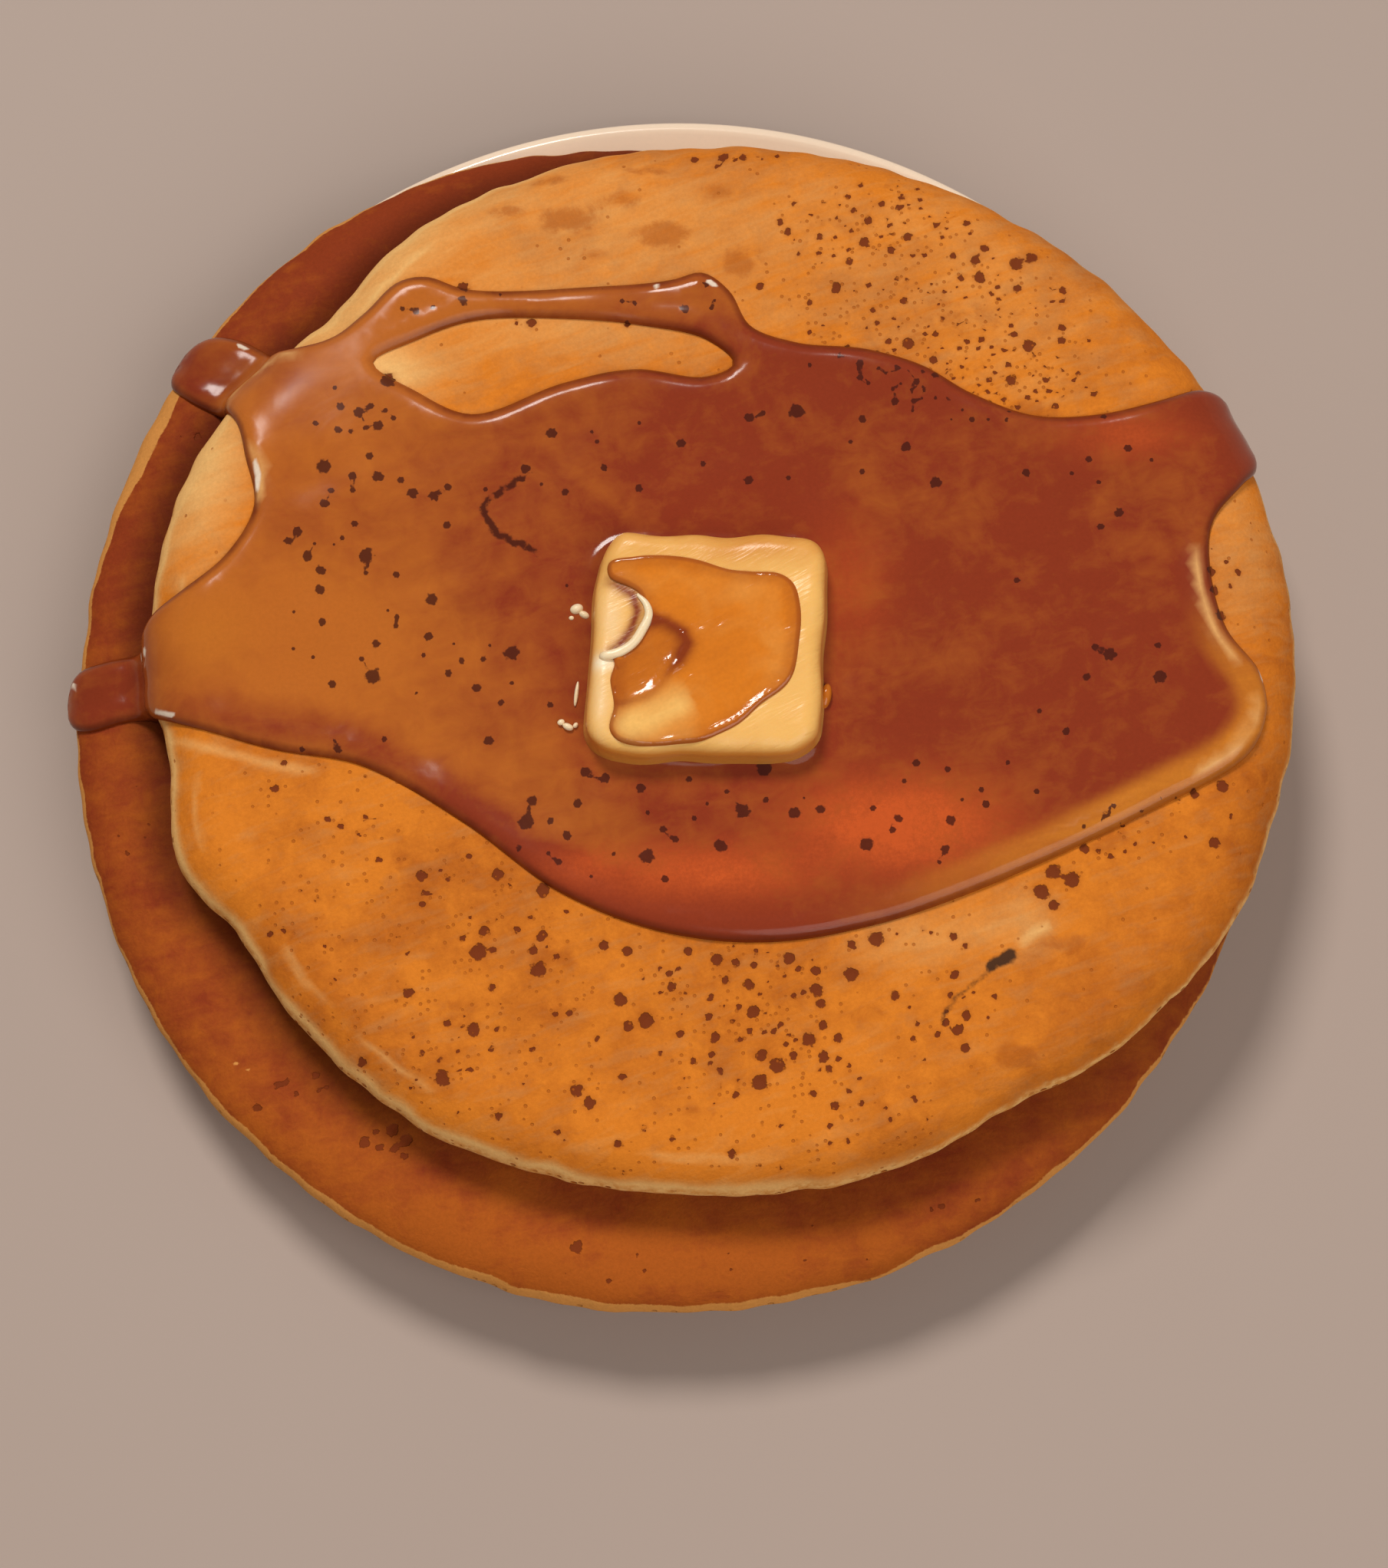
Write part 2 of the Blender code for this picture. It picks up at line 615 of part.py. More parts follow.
def make_butter_film():
    """The thin melted film that lies on the butter."""
    outline = smooth_loop(FILM_OUTLINE, FILM_SPACING)
    grid = triangle_grid(outline, FILM_SPACING * 1.4)
    inner = grid[distance_to_loops(grid, [outline]) > FILM_SPACING]
    plan, triangles = fill_region(outline, [], (0.8,), inner)
    rise = quarter_round(distance_to_loops(plan, [outline]) / FILM_EDGE_WIDTH)
    thickness = FILM_EDGE_THICKNESS + (FILM_THICKNESS - FILM_EDGE_THICKNESS) * rise
    bottom = np.column_stack([plan, butter_top(plan[:, 0], plan[:, 1]) + GAP])
    top = bottom + thickness[:, None] * [0.0, 0.0, 1.0]
    return layer("syrup_on_butter", triangles, bottom, top)


def centre_on_origin(pieces):
    """Hang all pieces on one empty, moved so that their common box is centred over z = 0."""
    corners = np.array([vertex.co for piece in pieces for vertex in piece.data.vertices])
    middle = 0.5 * (corners.min(axis=0) + corners.max(axis=0))
    anchor = bpy.data.objects.new("stack_anchor", None)
    bpy.context.scene.collection.objects.link(anchor)
    anchor.location = (-middle[0], -middle[1], 0.0)
    for piece in pieces:
        piece.parent = anchor
    bpy.context.view_layer.update()


def main():
    """Model the plate and everything on it, from the bottom up."""
    clear_scene()
    pieces = [
        make_plate(),
        make_pancake("pancake_lower", LOWER, LOWER_SIDES),
        make_pancake("pancake_upper", UPPER, UPPER_SIDES),
        make_butter(),
        make_syrup(StackSkin()),
        make_butter_film(),
    ]
    centre_on_origin(pieces)


main()
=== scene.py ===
"""Two pancakes with syrup and butter on a small plate, finished over their CAD frame.

Shapes are worked out in millimetres in the plan of the CAD source, whose origin differs
from the frame's by SHIFT, and become metres as each mesh is made. Every piece that has a
top is a height over the plan (x, y), so pancake, syrup and butter share one set of functions.
"""

import math

import bpy
import numpy as np
from bpy.props import FloatProperty, FloatVectorProperty, PointerProperty
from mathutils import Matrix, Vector
from mathutils.geometry import delaunay_2d_cdt


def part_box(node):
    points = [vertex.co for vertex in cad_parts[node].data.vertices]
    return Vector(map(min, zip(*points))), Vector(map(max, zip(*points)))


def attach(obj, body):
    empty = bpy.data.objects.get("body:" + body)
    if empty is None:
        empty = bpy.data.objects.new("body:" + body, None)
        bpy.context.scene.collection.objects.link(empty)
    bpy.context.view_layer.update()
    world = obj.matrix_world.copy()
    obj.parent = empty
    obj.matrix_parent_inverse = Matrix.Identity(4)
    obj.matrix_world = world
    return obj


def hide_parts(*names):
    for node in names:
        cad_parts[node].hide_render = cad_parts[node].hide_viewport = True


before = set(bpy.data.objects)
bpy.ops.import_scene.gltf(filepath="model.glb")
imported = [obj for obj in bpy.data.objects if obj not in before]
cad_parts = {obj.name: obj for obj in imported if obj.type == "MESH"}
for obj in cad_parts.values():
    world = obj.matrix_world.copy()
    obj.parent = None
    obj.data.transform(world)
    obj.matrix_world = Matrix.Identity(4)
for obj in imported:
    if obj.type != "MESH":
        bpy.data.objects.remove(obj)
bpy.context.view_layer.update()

bl_info = {
    "name": "Pancake stack",
    "version": (1, 0, 0),
    "blender": (4, 5, 0),
    "location": "3D View > Sidebar > Pancakes",
    "description": "Two pancakes with syrup and a pat of butter on a small plate",
    "category": "Add Mesh",
}

MM = 0.001
BODY = "root"

# Plate, as in the CAD source
PLATE_CENTRE = (-1.0, 2.7)
PLATE_RADIUS = 79.6
PLATE_RIM_HEIGHT = 8.2
PLATE_RIM_ROUND = 1.2
PLATE_WELL_RADIUS = 54.0
PLATE_WELL_HEIGHT = 5.0
PLATE_THICKNESS = 2.8
FOOT_RADIUS = 47.0
FOOT_WIDTH = 4.0
# Rounds of the foot's edge, of its root and of the rim's lip, and sides of the circle
FOOT_EDGE_ROUND = 0.8
FOOT_ROOT_ROUND = 1.4
LIP_ROUND = 1.4
PLATE_SIDES = 256

# Pancakes, as in the CAD source: waves of the edge are angle, spread and height
SHOULDER = 8.5
UNDER_ROUND = 5.0
BULGE = 0.42
LOWER_CENTRE = (-2.0, -3.1)
LOWER_HALF_SIZE = (79.5, 79.5)
LOWER_TOP_HEIGHT = 16.3
LOWER_WAVES = ((122, 24, 3.6), (151, 14, 1.1))
UPPER_CENTRE = (5.0, 2.9)
UPPER_HALF_SIZE = (76.0, 71.4)
UPPER_THICKNESS = 11.3
UPPER_WAVES = (
    (139, 10, -3.0), (166, 8, 0.7), (190, 7, -1.2), (201, 6, 1.7),
    (211, 6, -1.2), (240, 14, 1.4), (302, 10, -2.1), (332, 8, 0.7),
)
GAP = 0.3
SWELL = 0.3
SWELL_LENGTH = 46.0
DROOP = 2.5
DROOP_START = 70.0
DROOP_END = 84.0
CRIMP = 0.45
CRIMP_COUNTS = (9, 14, 19, 26, 33, 41, 52, 67, 83)
UNEVEN = 0.16
RIPPLE_WAVES = 14
# Rings of a pancake: sides, steps of the lower and upper round, and shares of the underside
PANCAKE_SIDES = 832
UNDER_STEPS = 10
OVER_STEPS = 19
UNDER_SHARES = (0.2, 0.45, 0.7, 0.9)
MIDDLE_SHARES = (0.75, 0.5, 0.25)

# Butter, as in the CAD source
BUTTER_CORNERS = ((-13.2, -12.2), (17.2, -12.1), (18.4, 17.2), (-11.2, 17.2))
BUTTER_MIDDLE = (2.8, 2.5)
BUTTER_CORNER_RADIUS = 4.0
BUTTER_THICKNESS = 6.2
BUTTER_EDGE_ROUND = 2.2
BUTTER_SPREAD = 0.7
BUTTER_SWELL = 0.25
BUTTER_SWELL_LENGTH = 19.0
BUTTER_SUNK = 0.1
BUTTER_SIDE_STEPS = 30

# Syrup, as in the CAD source: outlines in the flattened plan of the stack's skin
SYRUP_OUTLINE = (
    (-66.5, 11.2), (-60.5, 16.0), (-57.0, 22.5), (-58.2, 29.0), (-60.0, 34.6),
    (-66.0, 39.4), (-73.0, 43.4), (-76.6, 47.4), (-75.2, 51.6), (-70.6, 53.4),
    (-65.5, 52.4), (-59.5, 49.0), (-53.5, 45.6), (-48.0, 45.6), (-43.0, 49.0),
    (-38.5, 53.3), (-34.5, 54.0), (-29.0, 52.2), (-15.0, 52.4), (-2.0, 53.6),
    (2.2, 54.6), (5.8, 52.0), (8.6, 47.2), (14.5, 44.9), (24.0, 43.9), (31.5, 41.6),
    (38.0, 37.8), (45.5, 35.0), (54.0, 35.0), (62.6, 37.0), (69.5, 40.0),
    (75.5, 41.0), (79.8, 37.6), (79.2, 31.0), (74.0, 26.0), (69.6, 20.5),
    (69.0, 14.5), (71.0, 6.0), (75.4, 0.0), (76.4, -5.5), (73.5, -11.2),
    (60.0, -19.0), (38.5, -28.9), (24.0, -33.9), (10.0, -36.1), (-3.5, -34.6),
    (-16.5, -29.4), (-29.0, -20.2), (-42.5, -12.6), (-54.0, -10.4), (-65.0, -7.2),
    (-72.5, -5.2), (-80.0, -4.6), (-86.2, -5.8), (-90.2, -4.2), (-91.2, -0.8),
    (-89.6, 2.9), (-85.0, 4.4), (-78.5, 5.6), (-72.0, 8.6),
)
BARE_PATCH = (
    (-41.5, 42.2), (-36.0, 45.2), (-28.0, 47.9), (-17.5, 48.2), (-6.0, 47.3), (2.5, 45.4),
    (6.3, 42.0), (2.5, 40.1), (-6.5, 41.2), (-16.0, 39.3), (-28.5, 35.0), (-36.0, 38.4),
)
FILM_OUTLINE = (
    (-10.4, 13.2), (-6.8, 13.6), (-2.4, 14.1), (2.0, 13.6), (5.8, 12.4), (9.0, 12.2),
    (12.1, 11.8), (14.0, 10.2), (15.0, 7.4), (15.2, 3.9), (14.3, -0.3), (12.4, -3.8),
    (8.9, -6.9), (4.9, -9.4), (1.7, -10.9), (-3.5, -11.0), (-8.7, -10.9), (-9.8, -9.7),
    (-9.4, -6.7), (-9.8, -2.8), (-9.2, -0.6), (-9.3, 0.9), (-7.4, 2.3), (-6.1, 4.2),
    (-5.2, 6.5), (-6.0, 8.8), (-7.7, 10.1), (-10.2, 11.4),
)
# The stack's skin: foot of a run, of a hanging one, least ledge and drop, and the table's grid
RUN_FOOT = 4.0
HANGING_FOOT = 0.6
LEAST_LEDGE = 0.1
SKIN_DROP = 30.0
SKIN_ANGLES = 720
SKIN_STEP = 0.25
SKIN_LENGTH = 112.0
RAY_STEPS = 60
EDGE_HALVINGS = 40
NORMAL_STEP = 0.8
# The syrup's sheet: how it lies on the skin, the height, middle and width of the ridge inside
# its border, the height and reach of its rise at the butter, and the spacing of its points
SYRUP_SUNK = 0.15
SYRUP_LIFT = 0.06
LEDGE_MARGIN = 0.5
RIDGE = (0.22, 1.9, 1.3)
BUTTER_RISE = (0.7, 0.7)
OUTLINE_SPACING = 0.9
SYRUP_SPACING = 1.1
SYRUP_CLEAR = 2.4
SYRUP_RINGS = (0.08, 0.28, 0.6, 1.1, 1.8)
# The melted film: how deep its bed and how far its body lie, and the spacing of its points
FILM_BED = 0.3
FILM_BED_WIDTH = 1.5
FILM_SUNK = 0.2
FILM_RINGS = (0.06, 0.2, 0.42, 0.7)

# How pores are drawn: usual size and its variety, least and greatest radius, tries, spread
# about a cluster's middle and its limit, least gap, and where their field and dent end
PORE_SCALE = 0.86
PORE_VARIETY = 0.40
PORE_RADII = (0.2, 1.0)
PORE_TRIES = 25
PORE_SPREAD = 0.7
PORE_REACH = 1.8
PORE_GAP = 0.45
PORE_FAR = 3.0
DENT_END = 1.25
# Pores of the upper pancake: middle, half width and height of a cluster, count, usual radius
PORE_CLUSTERS = (
    (20, 61, 6, 4, 34, 0.38), (27, 62, 5, 4, 28, 0.38), (35, 60, 4, 3, 11, 0.38),
    (45, 57, 1, 1, 2, 0.75), (38, 55, 2, 2, 3, 0.7), (29, 49, 10, 6, 60, 0.33),
    (44, 46, 6, 5, 36, 0.36), (40, 39, 8, 4, 44, 0.32), (33, 42, 7, 4, 26, 0.28),
    (49, 41, 4, 4, 12, 0.32), (6, 71, 5, 1, 7, 0.42), (-26, 50, 12, 2, 12, 0.45),
    (5, 50, 4, 3, 5, 0.5), (-43, 35, 6, 4, 12, 0.48), (-39, 24, 10, 4, 14, 0.55),
    (-49, 18, 4, 1, 5, 0.45), (-45, 11, 8, 4, 7, 0.75), (-30, 2, 17, 9, 28, 0.5),
    (-27, -2, 1, 1, 1, 0.9), (-6, 29, 16, 6, 12, 0.6), (31, 33, 18, 6, 12, 0.55),
    (56, 27, 9, 6, 9, 0.5), (53, 3, 12, 9, 7, 0.65), (61, -2, 1, 1, 1, 0.9),
    (8, -17, 20, 5, 18, 0.6), (7, -19, 1, 1, 1, 1.0), (-13, -25, 14, 6, 20, 0.55),
    (38, -20, 12, 6, 12, 0.6), (-46, -18, 7, 6, 14, 0.45), (-39, -32, 12, 6, 26, 0.45),
    (-22, -37, 9, 4, 12, 0.6), (-26, -47, 18, 8, 36, 0.48), (-3, -42, 5, 4, 11, 0.6),
    (10, -38, 5, 2, 12, 0.38), (9, -44, 7, 4, 24, 0.5), (11, -51, 8, 5, 22, 0.55),
    (2, -53, 4, 4, 6, 0.5), (35, -44, 4, 3, 9, 0.55), (33, -47, 4, 3, 7, 0.45),
    (49, -29, 3, 2, 4, 0.8), (28, -38, 8, 4, 9, 0.5), (25, -58, 7, 6, 16, 0.42),
    (1, -62, 14, 4, 16, 0.38), (61, -19, 8, 3, 14, 0.5), (56, -23, 4, 2, 8, 0.45),
    (71, 14, 2, 6, 9, 0.45), (-33, -57, 7, 4, 7, 0.4), (-8, 48, 4, 2, 4, 0.4),
)
LOWER_PORE_CLUSTERS = (
    (-50, -54, 5, 2, 7, 0.5), (-39, -60, 3, 2, 7, 0.75), (-72, -20, 3, 12, 6, 0.35),
    (30, -73, 14, 4, 8, 0.4), (-66, 36, 4, 8, 4, 0.4), (-5, -76, 16, 3, 8, 0.4),
)
# Brown smudges of the upper pancake: middle, half width and height, strength
SMUDGES = (
    (-16, 62, 4.5, 2.0, 0.95), (-3, 60, 4.1, 2.3, 0.95), (7, 56, 4.0, 2.4, 0.8),
    (-24, 63, 3.0, 1.4, 0.7), (-9, 65, 3.5, 1.5, 0.75), (4, 66, 4.0, 1.8, 0.6),
    (-18, 68, 4.0, 1.2, 0.6), (-6, 69, 5.0, 1.2, 0.6), (-12, 57, 3.0, 1.2, 0.6),
    (43, -51, 3.2, 2.2, 0.95), (50, -36, 4.0, 2.0, 0.7), (55, -22, 4.0, 2.5, 0.7),
    (25, -46, 6.0, 2.2, 0.4), (35, 48, 12.0, 7.0, 0.45), (46, 35, 6.0, 2.4, 0.7),
    (37, -24, 2.0, 1.6, 0.9), (22, 60, 9.0, 5.0, 0.35), (10, -45, 8.0, 8.0, 0.3),
    (-30, -45, 5.0, 3.0, 0.5), (-17, -38, 4.0, 1.6, 0.7), (-38, -25, 3.0, 3.0, 0.6),
    (1, -58, 5.0, 2.0, 0.5),
)
# A burnt mark of the upper pancake, middles and half sizes, the trail that leads to it and
# the pale end behind it
CHAR_MARKS = ((41.0, -38.4, 1.7, 0.85), (42.2, -37.4, 1.0, 0.7), (39.6, -39.2, 0.8, 0.5))
CHAR_TRAIL = ((40.0, -39.5), (37.5, -41.3), (35.2, -43.0), (33.5, -45.5), (33.0, -48.0))
PALE_TAIL = ((43.2, -36.6), (45.4, -34.6), (47.6, -33.6))
# A pale line on the upper pancake beside the syrup
PALE_STREAK = ((-69, -8.0), (-62, -10.3), (-54, -12.4), (-48, -13.4))
# A dark, thin vein in the syrup
VEIN = (
    (-19.1, 27.2), (-22.8, 25.3), (-25.8, 23.1), (-26.8, 21.6), (-25.3, 18.9), (-22.7, 17.3),
    (-19.6, 16.2), (-18.8, 14.1),
)
# The soft dark band along the pool's near border
NEAR_BAND = (
    (-69, -3.5), (-55, -7.0), (-43, -9.2), (-31, -16.5), (-19, -25.0), (-6, -31.0), (8, -33.0),
)
# Pale curves near the pool's border, painted highlights
SHINES = (
    ((-62.0, 37.0), (-59.8, 41.2), (-55.0, 43.6), (-51.0, 43.4)),
    ((-57.4, 31.0), (-56.0, 27.0), (-56.2, 22.5)),
    ((67.2, 17.0), (67.4, 11.5), (69.2, 5.5), (72.6, 0.5)),
    ((74.3, -2.8), (74.2, -6.2), (71.6, -10.4), (66.0, -14.2)),
    ((77.3, 0.6), (78.2, -2.5), (77.0, -7.4)),
)
# Painted glints: bright specks on the bead of the pool's border
PAINTED_GLINTS = (
    ((-57.0, 28.6), (-56.4, 26.0), (-56.6, 24.2)), ((-63.6, 41.6), (-61.6, 40.3)),
    ((-65.3, 51.2), (-64.0, 50.2)), ((-72.6, 4.6), (-72.2, 1.8)), ((-76.0, 5.0), (-75.6, 3.6)),
    ((-88.6, 1.6), (-88.2, -0.6)), ((-70.5, -4.2), (-66.5, -5.6)), ((2.6, 53.4), (4.2, 52.2)),
    ((-4.8, 52.4), (-3.0, 52.6)), ((77.6, 36.6), (78.0, 35.2)), ((75.2, 1.4), (75.7, -1.2)),
)
# Where the border's gloss is sharp: middle, half width and height, strength
GLINTS = (
    (-57.5, 26.5, 1.6, 3.5, 1.0), (-64.0, 41.0, 1.8, 1.3, 1.0), (-61.0, 35.5, 1.3, 1.6, 0.9),
    (-67.0, 51.0, 1.6, 1.2, 1.0), (-86.0, 1.0, 2.5, 2.5, 0.9), (-73.0, 2.5, 1.6, 2.0, 1.0),
    (3.5, 52.5, 3.0, 2.5, 1.0), (-3.5, 53.0, 1.5, 1.5, 1.0), (78.0, 36.0, 2.0, 2.0, 1.0),
    (76.0, 0.0, 1.2, 1.8, 1.0), (18.0, -34.5, 2.0, 1.5, 0.8), (-43.0, 48.0, 2.0, 2.0, 0.6),
)
# Folds of the melted film on the butter: its notch, the curl beside it, the fold that runs
# from there round a pocket, and the pale sweep in front, a painted reflection
NOTCH = (
    (-9.9, 11.0), (-7.7, 10.1), (-6.0, 8.8), (-5.2, 6.5), (-6.1, 4.2), (-7.4, 2.3), (-9.3, 0.9),
)
CURL = (
    (-6.4, 8.9), (-5.0, 7.3), (-4.7, 5.9), (-5.7, 3.9), (-6.9, 2.3), (-9.0, 1.0), (-11.2, 0.6),
)
FOLD = (
    (-5.2, 5.6), (-2.6, 4.9), (-0.6, 3.5), (0.0, 2.0), (-0.7, -0.3), (-2.6, -2.8), (-5.3, -4.6),
    (-8.7, -6.2),
)
POCKET_END = ((-9.4, -4.0), (-8.6, 0.4), (-6.4, 3.4))
SWEEP = ((-9.4, -10.2), (-6.9, -8.4), (-3.7, -6.8), (1.2, -5.2))
CURL_STEPS = 60
BEAD_SIDES = 14
DROP_RINGS = 13
# Drops of butter beside the pat: middle, half length, half width, height and turn; the long, thin
# third one is a white drop where a glint is painted
BUTTER_DROPS = (
    (-14.3, 8.2, 0.9, 0.7, 0.7, 0.3), (-13.3, 7.4, 0.8, 0.5, 0.6, -0.5),
    (-14.3, -3.2, 1.7, 0.28, 0.4, 1.45), (-16.3, -7.0, 0.5, 0.4, 0.4, 0.4),
    (-15.4, -7.6, 0.75, 0.45, 0.5, -0.4), (-14.4, -7.4, 0.4, 0.3, 0.35, 0.9),
    (-15.0, 7.0, 0.35, 0.3, 0.3, 0.0),
)
AMBER_DROP = (18.3, -3.6, 1.7, 0.75, 0.9, 1.4)
# Height of the drops over the pancake's level, and of the amber one over them
DROP_LEVEL = 0.75
AMBER_LEVEL = 0.4
# First number of the random draws for the pores
SEED = 41
# Strokes reach full strength over this part of their length, given as one over it
STROKE_FADE = 6.0

# Stage: the floor's round, the lights' directions and spreads in degrees, and the camera
FLOOR_RADIUS = 2500.0
FLOOR_SIDES = 96
KEY_DIRECTION = (-0.22, 0.62, 0.86)
KEY_SPREAD = 16.0
KEY_COLOUR = (1.0, 0.96, 0.91)
FILL_DIRECTION = (0.45, -0.55, 0.85)
FILL_SPREAD = 50.0
FILL_COLOUR = (1.0, 0.96, 0.92)
SKY_COLOUR = (1.0, 0.95, 0.90, 1.0)
CAMERA_ELEVATION = 78.0
CAMERA_DISTANCE = 800.0
CAMERA_AIM = (2.04, -11.02, 10.0)
CAMERA_LENS = 137.4


def box_middle(name):
    """Middle of a node's box in plan, in millimetres."""
    low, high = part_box(name)
    return np.array([0.5 * (low.x + high.x), 0.5 * (low.y + high.y)]) / MM


SHIFT = np.append(box_middle("plate") - PLATE_CENTRE, 0.0)


def colour_setting(name, description, default):
    """A colour that a user may change."""
    return FloatVectorProperty(
        name=name, description=description, default=default,
        subtype="COLOR", size=3, min=0.0, max=1.0,
    )


def length_setting(name, description, millimetres):
    """A length that a user may change."""
    return FloatProperty(
        name=name, description=description, default=millimetres * MM, min=0.0,
        unit="LENGTH", precision=5,
    )


class PlateSettings(bpy.types.PropertyGroup):
    """Plate under the pancakes."""

    glaze: colour_setting("Glaze", "Colour of the glaze", (0.98, 0.78, 0.59))
    foot: colour_setting("Foot", "Colour of the bare clay of the foot", (0.52, 0.38, 0.27))


class PancakeSettings(bpy.types.PropertyGroup):
    """Both pancakes."""

    pore_depth: length_setting("Pore depth", "Depth of a usual pore", 0.35)
    cream: colour_setting("Cream", "Palest crust, at bare rims", (0.86, 0.49, 0.17))
    crumb: colour_setting("Crumb", "Soft side between the crusts", (0.70, 0.31, 0.075))
    golden: colour_setting("Golden", "Usual crust of the upper pancake", (0.70, 0.207, 0.018))
    brown: colour_setting("Brown", "Browned places of the upper pancake", (0.42, 0.10, 0.010))
    pore: colour_setting("Pore", "Inside of the pores", (0.18, 0.033, 0.008))
    charred: colour_setting("Charred", "Burnt spots", (0.042, 0.020, 0.012))
    lower_crumb: colour_setting("Lower crumb", "Side of the lower pancake", (0.50, 0.17, 0.028))
    lower_crust: colour_setting(
        "Lower crust", "Dark crust of the lower pancake", (0.27, 0.042, 0.011),
    )
    lower_gold: colour_setting("Lower gold", "Lighter crust near its rim", (0.42, 0.098, 0.012))


class SyrupSettings(bpy.types.PropertyGroup):
    """Pool of syrup and its runs."""

    depth: length_setting("Depth", "Depth of the pool over the pancake", 1.3)
    bead: length_setting("Bead", "Width of the rounded border", 1.8)
    thin: colour_setting("Thin", "Syrup where it is shallow", (0.57, 0.156, 0.021))
    deep: colour_setting("Deep", "Syrup where it is deep", (0.27, 0.037, 0.012))
    glow: colour_setting("Glow", "Syrup where light gathers in it", (0.64, 0.105, 0.020))
    gold: colour_setting("Gold", "Thin border that the light shines through", (0.64, 0.21, 0.020))
    line: colour_setting("Line", "Dark line along the border", (0.15, 0.022, 0.004))
    pore: colour_setting("Pore", "Pores and veins seen through the syrup", (0.060, 0.010, 0.006))
    shine: colour_setting("Shine", "Pale curves near the border", (0.86, 0.46, 0.16))
    painted_glint: colour_setting("Spark", "Brightest specks of its border", (0.95, 0.82, 0.66))


class ButterSettings(bpy.types.PropertyGroup):
    """Pat of butter, its melted film and drops."""

    pale: colour_setting("Pale", "Cool, firm butter", (0.93, 0.515, 0.14))
    warm: colour_setting("Warm", "Softened butter", (0.70, 0.28, 0.045))
    white: colour_setting("White", "Fresh fold and drops", (0.97, 0.80, 0.55))
    film: colour_setting("Film", "Melted butter with syrup", (0.72, 0.205, 0.012))
    film_line: colour_setting("Film line", "Border of the film", (0.26, 0.040, 0.006))


class StageSettings(bpy.types.PropertyGroup):
    """Floor, light and camera."""

    floor: colour_setting("Floor", "Colour of the floor", (0.405, 0.315, 0.268))
    key: FloatProperty(
        name="Key light", description="Strength of the main soft light", default=2.0, min=0.0,
    )
    fill: FloatProperty(
        name="Fill light", description="Strength of the light from the front", default=1.3,
        min=0.0,
    )
    sky: FloatProperty(
        name="Sky", description="Strength of the light from all round", default=0.2, min=0.0,
    )


class StackSettings(bpy.types.PropertyGroup):
    """All sizes and colours of the stack."""

    plate: PointerProperty(type=PlateSettings)
    pancakes: PointerProperty(type=PancakeSettings)
    syrup: PointerProperty(type=SyrupSettings)
    butter: PointerProperty(type=ButterSettings)
    stage: PointerProperty(type=StageSettings)


# Shapes shared with the CAD source


def quarter_round(share):
    """Rise of a quarter circle, from 0 at its foot to 1 at share 1 and beyond."""
    within = np.clip(share, 0.0, 1.0)
    return np.sqrt(1.0 - (1.0 - within) ** 2)


def smooth_step(value, low, high):
    """A soft step from 0 at low to 1 at high."""
    share = np.clip((value - low) / (high - low), 0.0, 1.0)
    return share * share * (3.0 - 2.0 * share)


def around(count):
    """Angles at even steps round a circle."""
    return np.arange(count) * math.tau / count


def bell(value, width, middle=0.0):
    """A bell curve about a middle."""
    return np.exp(-(((value - middle) / width) ** 2))


def swell(x, y, length, phase):
    """A slow unevenness between -1 and 1, from two crossed waves."""
    turn = math.tau / length
    along = np.sin(turn * (x + 0.4 * y) + phase)
    across = np.sin(turn * (0.8 * y - 0.3 * x) + 2.0 * phase)
    return 0.5 * (along + across)


def ripples(x, y, length, seed):
    """A random-looking unevenness near -1 to 1: sine waves of about one length, turned all ways."""
    rng = np.random.default_rng(seed)
    total = 0.0
    for _ in range(RIPPLE_WAVES):
        turn = rng.uniform(0.0, math.tau)
        pace = math.tau / (length * rng.uniform(0.7, 1.6))
        phase = rng.uniform(0.0, math.tau)
        total = total + np.sin(pace * (x * math.cos(turn) + y * math.sin(turn)) + phase)
    return total / math.sqrt(2.0 * RIPPLE_WAVES)


def plate_top(x, y):
    """Height of the plate's upper face: a flat well and a rim that curves up."""
    radius = np.hypot(x - PLATE_CENTRE[0], y - PLATE_CENTRE[1])
    rim_radius = PLATE_RADIUS - PLATE_RIM_ROUND
    share = np.clip((radius - PLATE_WELL_RADIUS) / (rim_radius - PLATE_WELL_RADIUS), 0.0, 1.0)
    return PLATE_WELL_HEIGHT + (PLATE_RIM_HEIGHT - PLATE_WELL_HEIGHT) * share ** 2


def crimped(angle, seed):
    """Fine irregularity of an edge between 0 and 1: cosines of many counts, each with a phase."""
    rng = np.random.default_rng(seed)
    total = 0.0
    for count in CRIMP_COUNTS:
        wave = np.cos(count * angle + rng.uniform(0.0, math.tau))
        total = total + wave / len(CRIMP_COUNTS)
    return np.clip(0.5 + 1.1 * total, 0.0, 1.0)


